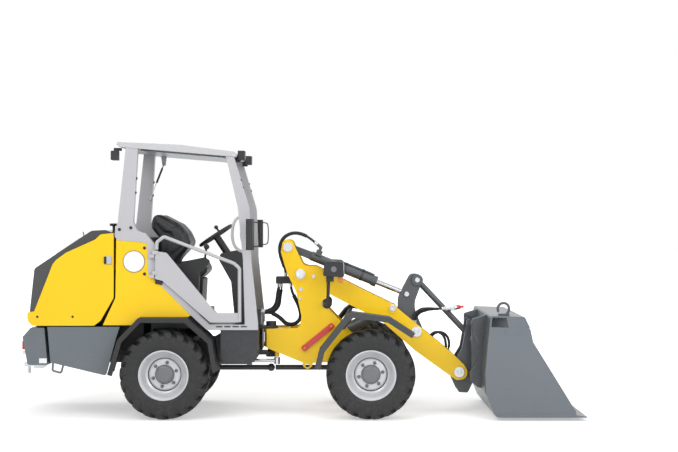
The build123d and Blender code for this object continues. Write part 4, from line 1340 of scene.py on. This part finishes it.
@dataclass
class HoodTrim:
    """What is fastened to the engine hood.

    Attributes:
        half: half the hood's width.
        latch: centre of the latch on each side.
        slats: slats across the rear grille.
        grille_half: half the grille's open width.
    """

    half: float = 500.0
    latch: tuple[float, float] = (-1360.0, 1351.0)
    slats: int = 10
    grille_half: float = 372.0

    def latches(self) -> None:
        """A pull latch on each side."""
        x, z = self.latch
        for side in Side:
            bm = bmesh.new()
            Shapes.block(bm, (x - 12, x + 34), side.span(self.half - 1.0, self.half + 14.0), (z - 36, z + 36))
            Shapes.eased("latch_plate_" + side.tag, bm, SILVER, "hood", 5.0)
            bm = bmesh.new()
            Shapes.block(bm, (x - 32, x - 13), side.span(self.half - 1.0, self.half + 16.8), (z - 34, z + 30))
            Shapes.eased("latch_grip_" + side.tag, bm, PLASTIC, "hood", 5.0)

    def grille(self) -> None:
        """Fins up the sloping rear face."""
        low, high = Vector((-2046.0, 906.0)), Vector((-2006.0, 1276.0))
        along = (high - low).normalized()
        out = Vector((-along.y, along.x))
        foot = low + along * 34.0
        corners = [foot - out * 3.0, foot + out * 7.0, foot + out * 7.0 + along * 7.0,
                   foot - out * 3.0 + along * 17.0]
        bm = bmesh.new()
        Shapes.prism(bm, [(c.x, c.y) for c in corners], -self.grille_half, self.grille_half)
        step = along * 30.0 * MM
        mesh = Patterns.run(PATTERNS.row(), Shapes.softened("grille_fin", bm, 1.5, 1), {
            "Count": self.slats, "Step": (step.x, 0.0, step.y), "Material": PLASTIC.material()})
        Pieces.add("grille_fins", mesh, PLASTIC, "hood")

    def filler(self) -> None:
        """Filler cap on its neck, and the small stalk behind it."""
        bm = bmesh.new()
        Shapes.lathe(bm, at(-1347.0, -300.0, 1570.0), Vector((0.0, 0.0, 1.0)), [
            (0.0, 0.0), (26.0, 0.0), (26.0, 6.0), (12.0, 10.0), (12.0, 68.0), (34.0, 72.0),
            (36.0, 76.0), (36.0, 88.0), (32.0, 92.0), (0.0, 93.0)], 32)
        Pieces.shaded("filler_cap", bm, PLASTIC, "hood")
        bm = bmesh.new()
        Shapes.lathe(bm, at(-1600.0, -300.0, 1530.0), Vector((-0.25, 0.0, 1.0)), [
            (0.0, 0.0), (14.0, 0.0), (14.0, 20.0), (5.0, 26.0), (5.0, 58.0), (3.0, 62.0), (0.0, 62.0)], 20)
        Pieces.shaded("hood_stalk", bm, GREY, "hood")

    def build(self) -> None:
        """Fasten everything to the hood."""
        self.latches()
        self.grille()
        self.filler()
        spots = [((x, self.half * s.value, z), s.out) for s in Side
                 for x, z in ((-1660.0, 868.0), (-1960.0, 868.0))]
        PATTERNS.bolt_field("hood_bolts", spots, 7.0, 5.0, PLASTIC, "hood")


@dataclass
class CabTrim:
    """What is fastened to the rear body and the canopy.

    Attributes:
        half: half the canopy's width.
        cover_half: half the width over the side covers.
        post_middle: distance of the posts' middle from the machine's middle.
        sign_spot: centre of the round sign.
    """

    half: float = 500.0
    cover_half: float = 498.0
    post_middle: float = 470.0
    sign_spot: tuple[float, float] = (-1139.0, 1338.0)

    def sign(self) -> None:
        """A blank round sign with a grey rim, and a blank plate low on the tail."""
        x, z = self.sign_spot
        bm = bmesh.new()
        Shapes.disc(bm, x, z, -self.cover_half, Side.RIGHT, 90.0, 4.0, 1.5, 64)
        Pieces.shaded("sign_disc", bm, WHITE, "rear_frame")
        bm = bmesh.new()
        Shapes.lathe(bm, at(x, -self.cover_half, z), Side.RIGHT.out, [
            (88.0, 0.0), (94.0, 0.0), (94.0, 3.5), (92.5, 5.0), (89.0, 5.0), (88.0, 4.0), (88.0, 0.0)], 64)
        Pieces.shaded("sign_rim", bm, GREY, "rear_frame")
        bm = bmesh.new()
        Shapes.block(bm, (-1950.0, -1884.0), (-482.5, -479.0), (471.0, 512.0))
        Shapes.eased("tail_plate", bm, WHITE, "rear_frame", 1.0)

    def bolts(self) -> None:
        """Black bolts on covers and posts."""
        spots = []
        to_rear_post, to_front_post = (1.0, 0.0, 0.06), (0.96, 0.0, 0.28)
        for side in Side:
            look = side.out
            cover, post, face = (y * side.value for y in (self.cover_half, self.half, self.post_middle))
            spots += [((-1049.0, cover, 1453.0), look), ((-1049.0, cover, 1232.0), look)]
            spots += [((-1262.0, post, 1610.0), look), ((-1165.0, post, 1625.0), look)]
            spots += [((-1122.0, face, 2046.0), to_rear_post), ((-1129.4, face, 1925.0), to_rear_post)]
            spots += [((-235.0, face, 2031.0), to_front_post), ((-216.0, face, 1967.0), to_front_post)]
        PATTERNS.bolt_field("cab_bolts", spots, 9.0, 9.0, PLASTIC, "rear_frame")

    def grab_loop(self) -> None:
        """A bent grab tube behind each front post."""
        route = [(-226.0, 1722.0), (-262.0, 1712.0), (-296.0, 1666.0), (-309.0, 1570.0), (-296.0, 1484.0),
                 (-256.0, 1432.0), (-196.0, 1412.0)]
        for side in Side:
            bm = bmesh.new()
            Tube.sweep(bm, Tube.line(Tube.flat(route, self.post_middle * side.value)), 12.0 * MM, 18)
            Pieces.shaded("grab_loop_" + side.tag, bm, SILVER, "rear_frame", 60.0)

    def gas_strut(self) -> None:
        """The roof strut inside the left rear post, with its two brackets."""
        top, low = Vector((-1020.0, 430.0, 2214.0)), Vector((-1150.0, 430.0, 1884.0))
        axis = (low - top).normalized()
        size = (low - top).length
        bm = bmesh.new()
        Shapes.lathe(bm, at(*top), axis, [
            (0.0, -8.0), (9.0, -6.0), (9.0, 10.0), (5.0, 14.0), (5.0, 40.0), (9.5, 42.0),
            (9.5, size * 0.52), (8.0, size * 0.53), (0.0, size * 0.53)], 24)
        Pieces.shaded("gas_strut_tube", bm, PLASTIC, "rear_frame")
        bm = bmesh.new()
        Shapes.lathe(bm, at(*top), axis, [
            (0.0, size * 0.5), (4.5, size * 0.5), (4.5, size - 18.0), (9.0, size - 14.0),
            (9.0, size + 4.0), (0.0, size + 8.0)], 24)
        Pieces.shaded("gas_strut_rod", bm, CHROME, "rear_frame")
        bm = bmesh.new()
        upper = [(-1046.0, 2292.0), (-992.0, 2287.0), (-1002.0, 2200.0), (-1034.0, 2200.0)]
        lower = [(-1180.0, 1850.0), (-1130.0, 1862.0), (-1130.0, 1904.0), (-1180.0, 1916.0)]
        Shapes.prism(bm, upper, 416.0, 422.0)
        Shapes.prism(bm, lower, 441.0, 447.0)
        for spot in (top, low):
            Shapes.bar(bm, (spot.x, 416.0, spot.z), (spot.x, 444.0, spot.z), 6.0)
        Shapes.eased("gas_strut_lugs", bm, SILVER, "rear_frame", 1.0)

    def lamps(self) -> None:
        """Lenses of the work lamps, with a bezel round each."""
        glass, frame = bmesh.new(), bmesh.new()
        for x, way in ((-205.0, 1.0), (-1345.0, -1.0)):
            for side in Side:
                y0, y1 = side.span(348.0, 432.0)
                xs = sorted((x - way, x + 3.0 * way))
                Shapes.block(glass, tuple(xs), (y0 + 4.0, y1 - 4.0), (2216.0, 2274.0))
                xs = sorted((x - way, x + 5.0 * way))
                rails = (((y0, y1), (2208.0, 2215.0)), ((y0, y1), (2275.0, 2282.0)),
                         ((y0, y0 + 4.0), (2215.0, 2275.0)), ((y1 - 4.0, y1), (2215.0, 2275.0)))
                for ys, zs in rails:
                    Shapes.block(frame, tuple(xs), ys, zs)
        Shapes.eased("work_lamp_glass", glass, LENS, "rear_frame", 1.5)
        Shapes.eased("work_lamp_bezels", frame, CHASSIS, "rear_frame", 1.0, 1)

    def mirrors(self) -> None:
        """Mirror glass and the wire guard of each mirror."""
        glass = bmesh.new()
        wire = bmesh.new()
        for side in Side:
            s = side.value
            corners = ((-179.5, 570.0), (-176.5, 570.0), (-171.0, 704.0), (-174.0, 704.0))
            verts = [(x, y * s) for x, y in corners]
            low = [glass.verts.new(at(x, y, 1452.0)) for x, y in verts]
            high = [glass.verts.new(at(x, y, 1686.0)) for x, y in verts]
            glass.faces.new(low)
            glass.faces.new(list(reversed(high)))
            for i, vert in enumerate(low):
                k = (i + 1) % 4
                glass.faces.new((vert, low[k], high[k], high[i]))
            route = [(-118.0, 1672.0), (-84.0, 1672.0), (-64.0, 1656.0), (-60.0, 1566.0),
                     (-64.0, 1480.0), (-84.0, 1466.0), (-118.0, 1466.0)]
            Tube.sweep(wire, Tube.line(Tube.flat(route, 600.0 * s)), 5.0 * MM, 12)
        Shapes.eased("mirror_glass", glass, MIRROR, "rear_frame", 1.0)
        Pieces.shaded("mirror_guards", wire, PLASTIC, "rear_frame", 60.0)

    def roof_shade_sheet(self) -> None:
        """Dark grey sheet under the roof: painted shade on its underside."""
        bm = bmesh.new()
        outline = [(-1096.0, 2297.0), (-370.0, 2235.4), (-376.0, 2224.0), (-1092.0, 2284.0)]
        Shapes.prism(bm, outline, -436.0, 436.0)
        # painted shade: a dark sheet across the roof's underside
        Shapes.eased("roof_painted_shade", bm, GREY, "rear_frame", 5.0)

    def sill(self) -> None:
        """Rubber foot under the gate's hinge, and black patches of painted shade for the slots in the entry
        step.
        """
        bm = bmesh.new()
        foot = [(-958.0, 1150.0), (-900.0, 1140.0), (-888.0, 1168.0), (-960.0, 1192.0)]
        Shapes.prism(bm, foot, -512.0, -499.5)
        Shapes.eased("gate_foot", bm, PLASTIC, "rear_frame", 4.0)
        bm = bmesh.new()
        # painted shade: flat black patches stand in for the dark insides of the step's slots
        for x in (-440.0, -370.0, -300.0, -230.0):
            for side in Side:
                y0, y1 = side.span(499.5, 501.5)
                Shapes.block(bm, (x, x + 52.0), (y0, y1), (778.0, 790.0))
        Shapes.eased("step_slot_shade", bm, CHASSIS, "rear_frame", 1.0, 1)

    def arch_shade_sheets(self) -> None:
        """Dark sheets inside the rear wheel arches: painted shade behind the tyres."""
        outline = [(-1400.0, 560.0), (-1130.0, 560.0), (-1080.0, 690.0), (-1080.0, 800.0), (-1300.0, 800.0)]
        bm = bmesh.new()
        for side in Side:
            Shapes.prism(bm, outline, *side.span(326.0, 338.0))
        # painted shade: black sheets inside the arches behind the tyres
        Shapes.eased("arch_shade_sheets", bm, PLASTIC, "rear_frame", 4.0)

    def build(self) -> None:
        """Fasten everything to the cab."""
        self.sign()
        self.bolts()
        self.grab_loop()
        self.gas_strut()
        self.lamps()
        self.mirrors()
        self.roof_shade_sheet()
        self.sill()
        self.arch_shade_sheets()


@dataclass
class FrontTrim:
    """What is fastened to the front frame.

    Attributes:
        plate: distance of the tower plates' outer faces from the middle.
        boss: distance of the boom pivot's boss from the middle.
        lock_face: distance of the lock bar's outer face from the middle.
    """

    plate: float = 190.0
    boss: float = 198.0
    lock_face: float = 212.0

    LOCK_ENDS = ((304.0, 573.0), (536.0, 763.0))

    def pins(self) -> None:
        """Pin ends on the tower."""
        PinHeads.add("tower_pins", [(266.0, 1219.0, self.boss, 44.0), (382.0, 1197.0, self.plate, 16.0),
                                    (270.0, 1084.0, self.plate, 18.0), (262.0, 1000.0, self.plate, 13.0)],
                     STEEL, "front_frame")
        bm = bmesh.new()
        for side in Side:
            Shapes.disc(bm, 500.0, 962.0, self.plate * side.value, side, 44.0, 12.0, 4.0, 40)
        Pieces.shaded("lamp_feet", bm, PLASTIC, "front_frame")
        spots = [((470.0, 202.0 * s.value, 962.0), s.out) for s in Side]
        PATTERNS.bolt_field("lamp_foot_bolts", spots, 9.0, 7.0, ZINC, "front_frame")

    def lamps(self) -> None:
        """Headlamp glass, indicators and side reflectors."""
        glass, amber, side_lens = bmesh.new(), bmesh.new(), bmesh.new()
        for side in Side:
            y0, y1 = side.span(272.0, 388.0)
            Shapes.prism(glass, [(640.0, 1322.0), (645.0, 1322.0), (652.0, 1208.0), (646.0, 1208.0)], y0, y1)
            y0, y1 = side.span(300.0, 360.0)
            Shapes.block(amber, (598.0, 640.0), (y0, y1), (1150.0, 1204.0))
            Shapes.disc(side_lens, 560.0, 1268.0, 400.0 * side.value, side, 25.0, 5.0, 2.0, 36)
        Shapes.eased("headlamp_glass", glass, LENS, "front_frame", 2.0)
        Shapes.eased("front_indicators", amber, AMBER, "front_frame", 6.0)
        Pieces.shaded("side_reflectors", side_lens, HUB, "front_frame")

    def lock_ends(self) -> None:
        """Ringed ends of the red articulation lock bar."""
        bm = bmesh.new()
        for x, z in self.LOCK_ENDS:
            Shapes.lathe(bm, at(x, -self.lock_face, z), Side.RIGHT.out, [
                (14.0, -1.0), (26.0, -1.0), (26.0, 3.0), (24.0, 5.0), (16.0, 5.0), (14.0, 3.0),
                (14.0, -1.0)], 36)
        Pieces.shaded("lock_bar_rings", bm, RED, "front_frame")
        PinHeads.add("lock_bar_pins", [(x, z, self.lock_face, 13.0) for x, z in self.LOCK_ENDS],
                     AMBER, "front_frame", (Side.RIGHT,))

    def build(self) -> None:
        """Fasten everything to the front frame."""
        self.pins()
        self.lamps()
        self.lock_ends()


@dataclass
class LoaderTrim:
    """What is fastened to the boom, its linkage and the bucket.

    Attributes:
        bucket_half: half the bucket's width.
        tilt_line_off: distance of the hard line from the tilt cylinder's axis.
    """

    bucket_half: float = 625.0
    tilt_line_off: float = 51.0

    def pins(self) -> None:
        """Pin ends on boom, lever, link and hitch."""
        for name, spot, body in (("boom_knee_pins", (1076.0, 919.0, 165.0, 30.0), "boom"),
                                 ("lever_pins", (1205.0, 1036.0, 73.0, 22.0), "lever"),
                                 ("link_pin_ends", (1298.0, 1162.0, 93.0, 22.0), "link_pin"),
                                 ("hitch_link_pins", (1785.0, 645.0, 119.0, 24.0), "hitch"),
                                 ("nose_pin_ends", (1662.0, 357.0, 169.0, 22.0), "hitch_pin"),
                                 ("lever_foot_ends", (1285.0, 712.0, 169.0, 22.0), "lever_pin")):
            PinHeads.add(name, [spot], STEEL, body)

    def couplers(self) -> None:
        """Red dust caps with steel rings on the two hydraulic couplers."""
        red, ring = bmesh.new(), bmesh.new()
        for y in (-135.0, -85.0):
            axis = Vector((100.0, 0.0, 10.0))
            foot = at(1643.0, y, 923.4)
            Shapes.lathe(ring, foot, axis, [
                (12.0, -26.0), (20.5, -26.0), (20.5, -4.0), (19.0, 0.0), (12.0, 0.0), (12.0, -26.0)], 28)
            Shapes.lathe(red, foot, axis, [
                (0.0, -2.0), (17.0, -2.0), (18.5, 2.0), (18.5, 26.0), (15.0, 30.0), (9.0, 34.0),
                (8.0, 58.0), (5.0, 62.0), (0.0, 62.0)], 28)
        Pieces.shaded("coupler_rings", ring, CHROME, "link")
        Pieces.shaded("coupler_caps", red, RED, "link")

    def tilt_tube(self) -> None:
        """Hard line along the tilt cylinder with its clamps."""
        start, end = Vector((156.0, 1455.0)), Vector((1205.0, 1036.0))
        along = (end - start).normalized()
        out = Vector((-along.y, along.x))
        route = []
        off = self.tilt_line_off
        for s, r in ((440.0, 36.0), (446.0, 50.0), (480.0, off), (620.0, off), (740.0, off), (785.0, off),
                     (806.0, 46.0)):
            spot = start + along * s + out * r
            route.append((spot.x, 0.0, spot.y))
        bm = bmesh.new()
        Tube.sweep(bm, Tube.line(route), 10.0 * MM, 16)
        Pieces.shaded("tilt_line", bm, DARK, "tilt_barrel", 60.0)
        bm = bmesh.new()
        for s in (540.0, 700.0):
            spot = start + along * s
            axis = Vector((along.x, 0.0, along.y))
            Shapes.lathe(bm, at(spot.x, 0.0, spot.y), axis, [
                (40.5, -9.0), (43.5, -9.0), (43.5, 9.0), (40.5, 9.0), (40.5, -9.0)], 48)
            spot += out * off
            Shapes.lathe(bm, at(spot.x, 0.0, spot.y), axis, [
                (9.5, -9.0), (12.5, -9.0), (12.5, 9.0), (9.5, 9.0), (9.5, -9.0)], 24)
        Pieces.shaded("tilt_line_straps", bm, CHASSIS, "tilt_barrel")

    def bucket(self) -> None:
        """Worn cutting edge, wear strips and bolts of the bucket."""
        half = self.bucket_half - 1.0
        bm = bmesh.new()
        edge = [(2572.0, 52.0), (2572.0, 57.8), (2684.0, 38.8), (2690.5, 36.5), (2690.5, 31.0),
                (2684.0, 31.0)]
        Shapes.prism(bm, edge, -half, half)
        Shapes.eased("cutting_edge", bm, WORN, "hitch", 1.0, 1)
        bm = bmesh.new()
        skid = [(2592.0, 92.0), (2600.0, 42.0), (2500.0, 32.0), (1950.0, 32.0), (1936.0, 58.0),
                (2530.0, 62.0), (2562.0, 84.0)]
        for side in Side:
            Shapes.prism(bm, skid, *side.span(self.bucket_half - 2.0, self.bucket_half + 3.0))
        Shapes.eased("bucket_skids", bm, BUCKET_GREY, "hitch", 1.0, 1)
        spots = [((x, half * s.value, z), s.out) for s in Side
                 for x, z in ((2110.0, 742.0), (2010.0, 748.0))]
        PATTERNS.bolt_field("bucket_bolts", spots, 9.0, 5.0, BUCKET_GREY, "hitch")

    def bucket_shade_sheets(self) -> None:
        """Dark sheets of painted shade over the bucket's back and the outer faces of its hooks, and gussets
        under its top edge.
        """
        back = [(1879.0, 872.0), (1854.0, 640.0), (1835.0, 400.0), (1837.0, 252.0), (1852.0, 212.0),
                (1848.0, 208.0), (1832.0, 246.0), (1829.5, 400.0), (1849.0, 642.0), (1874.0, 872.0)]
        hook = [(1751.0, 832.0), (1888.0, 874.0), (1867.0, 640.0), (1845.0, 400.0), (1844.0, 244.0),
                (1800.0, 252.0), (1745.0, 297.0), (1742.0, 378.0), (1780.0, 440.0), (1804.0, 500.0),
                (1813.0, 560.0), (1811.0, 620.0), (1796.0, 668.0), (1768.0, 724.0)]
        gusset = [(2012.0, 871.0), (2156.0, 866.0), (2203.0, 783.0), (2030.0, 784.0)]
        dark, pale = bmesh.new(), bmesh.new()
        for side in Side:
            # painted shade: thin dark sheets over the bucket's back wall and hook faces, where these lie in
            # shade
            Shapes.prism(dark, back, *side.span(354.0, 620.0))
            Shapes.prism(dark, hook, *side.span(352.0, 356.0))
            Shapes.prism(pale, gusset, *side.span(611.0, 623.5))
        Shapes.eased("bucket_back_painted_shade", dark, DARK, "hitch", 1.0, 1)
        Shapes.eased("bucket_gussets", pale, BUCKET_GREY, "hitch", 1.0, 1)

    def lifting_hook(self) -> None:
        """Weld-on lifting hook on the bucket's top edge."""
        bm = bmesh.new()
        route = [(2012.0, 890.0), (2036.0, 905.0), (2046.0, 948.0), (2024.0, 986.0), (1980.0, 990.0),
                 (1950.0, 966.0), (1946.0, 926.0), (1956.0, 914.0)]
        Tube.sweep(bm, Tube.line(Tube.flat(route, -555.0)), 11.0 * MM, 14)
        Shapes.block(bm, (1952.0, 2044.0), (-575.0, -535.0), (876.0, 900.0))
        Shapes.eased("lifting_hook", bm, DARK, "hitch", 3.0)

    def build(self) -> None:
        """Fasten everything to the loader arm."""
        self.pins()
        self.couplers()
        self.tilt_tube()
        self.bucket()
        self.bucket_shade_sheets()
        self.lifting_hook()


@dataclass
class NodeDresser:
    """Gives the carried-over nodes their finish and softens their edges.

    Attributes:
        finishes: finish of each node.
        bevels: edge radius in millimetres where it isn't the plain one.
        plain_bevel: edge radius of the other nodes.
    """

    finishes: dict[str, Finish]
    bevels: dict[str, float] = field(default_factory=dict)
    plain_bevel: float = 3.0

    def smooth_tree(self) -> bpy.types.NodeTree:
        """Geometry nodes that shade soft under an angle.

        Returns:
            The tree.
        """
        name = "Soft Shading"
        known = bpy.data.node_groups.get(name)
        if known:
            return known
        tree = bpy.data.node_groups.new(name, "GeometryNodeTree")
        face = tree.interface
        face.new_socket("Geometry", in_out="INPUT", socket_type="NodeSocketGeometry")
        limit = face.new_socket("Limit", in_out="INPUT", socket_type="NodeSocketFloat")
        limit.default_value = math.radians(32.0)
        face.new_socket("Geometry", in_out="OUTPUT", socket_type="NodeSocketGeometry")
        graph = Graph(tree)
        given = graph.add("NodeGroupInput").outputs
        angle = graph.add("GeometryNodeInputMeshEdgeAngle")
        sharp = graph.add("FunctionNodeCompare", {
            "A": angle.outputs["Unsigned Angle"], "B": given["Limit"]}, operation="GREATER_THAN")
        soft = graph.add("GeometryNodeSetShadeSmooth", {"Geometry": given["Geometry"]})
        hard = graph.add("GeometryNodeSetShadeSmooth", {
            "Geometry": soft.outputs[0], "Selection": sharp.outputs["Result"], "Shade Smooth": False},
            domain="EDGE")
        graph.add("NodeGroupOutput", {"Geometry": hard.outputs[0]})
        return tree

    def soften(self, node: bpy.types.Object, radius: float) -> None:
        """Round a node's sharp edges with live modifiers.

        Args:
            node: the node's object.
            radius: the edge's width in millimetres.
        """
        weld = node.modifiers.new("weld", "WELD")
        weld.merge_threshold = 1e-5
        if radius > 0:
            flat = node.modifiers.new("flat", "DECIMATE")
            flat.decimate_type = "DISSOLVE"
            flat.angle_limit = math.radians(0.5)
            Shapes.rounded(node, radius, 2, 38.0)
        soft = node.modifiers.new("soft", "NODES")
        soft.node_group = self.smooth_tree()
        normal = node.modifiers.new("normal", "WEIGHTED_NORMAL")
        normal.keep_sharp = True

    def dress(self, nodes: dict[str, bpy.types.Object]) -> None:
        """Dress every node.

        Args:
            nodes: the frame's nodes by name.
        """
        for name, node in nodes.items():
            material = self.finishes[name].material()
            node.data.materials.clear()
            node.data.materials.append(material)
            self.soften(node, self.bevels.get(name, self.plain_bevel))
            LOG.info("dressed %s with %s", name, material.name)


NODE_FINISHES: dict[Finish, tuple[str, ...]] = {
    YELLOW: ("engine_hood", "side_covers", "front_chassis", "boom"),
    SILVER: ("canopy_sides", "side_gate"),
    ROOF: ("canopy_roof",),
    GREY: ("lower_panels", "counterweight"),
    BUCKET_GREY: ("bucket",),
    DARK: ("tilt_lever", "tilt_link", "tilt_barrel", "lift_barrel", "steer_barrel", "quick_hitch",
           "link_pin"),
    CHASSIS: ("rear_axle", "front_axle", "rear_chassis", "engine_block", "platform"),
    PLASTIC: ("rear_fenders", "dash_console", "control_console", "mirrors", "steering_wheel",
              "seat_base", "headlamps", "work_lamps", "hose_clamp"),
    HUMP: ("hood_grille",),
    HOSE: ("pivot_hoses", "tower_hoses", "coupler_hoses", "nose_hoses"),
    FENDER: ("front_fenders",),
    VINYL: ("seat_cushion", "seat_backrest"),
    RED_LENS: ("tail_lamps",),
    RED: ("lock_bar",),
    ZINC: ("hose_couplers", "tow_hitch"),
    CHROME: ("tilt_rod", "lift_rod", "steer_rod"),
    STEEL: ("hitch_pin", "lever_pin", "tilt_pin"),
    RIM: ("rim_fl", "rim_fr", "rim_rl", "rim_rr"),
    RUBBER: ("tyre_fl", "tyre_fr", "tyre_rl", "tyre_rr"),
}

UNBEVELLED = ("engine_block", "tyre_fl", "tyre_fr", "tyre_rl", "tyre_rr")
WHEELS = (Wheel("fl", 875.0, Side.LEFT, turn=4.0), Wheel("fr", 875.0, Side.RIGHT, turn=7.0),
          Wheel("rl", -875.0, Side.LEFT, turn=2.0), Wheel("rr", -875.0, Side.RIGHT))
SEAT_PADS = (
    SeatPad("seat_cushion_pad", "seat_cushion", [(-870, 1192), (-870, 1308), (-760, 1318), (-566, 1323),
                                                 (-532, 1250), (-590, 1192)], 245.0),
    SeatPad("seat_back_pad", "seat_backrest", [(-888, 1227), (-950, 1227), (-976, 1545), (-1030, 1622),
                                               (-1034, 1720), (-990, 1748), (-796, 1649), (-745, 1594),
                                               (-686, 1494), (-728, 1449), (-806, 1357)], 235.0),
)


def main() -> None:
    """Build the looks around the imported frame, one sub-assembly after another."""
    logging.basicConfig(level=logging.INFO, format="%(message)s")
    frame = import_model()
    Studio().build()
    finishes = {name: finish for finish, names in NODE_FINISHES.items() for name in names}
    NodeDresser(finishes, dict.fromkeys(UNBEVELLED, 0.0)).dress(frame["nodes"])
    HoseSet().build()
    for wheel in WHEELS:
        wheel.build()
    for pad in SEAT_PADS:
        pad.build()
    for trim in (HoodTrim(), CabTrim(), FrontTrim(), LoaderTrim()):
        trim.build()


if __name__ == "__main__":
    main()
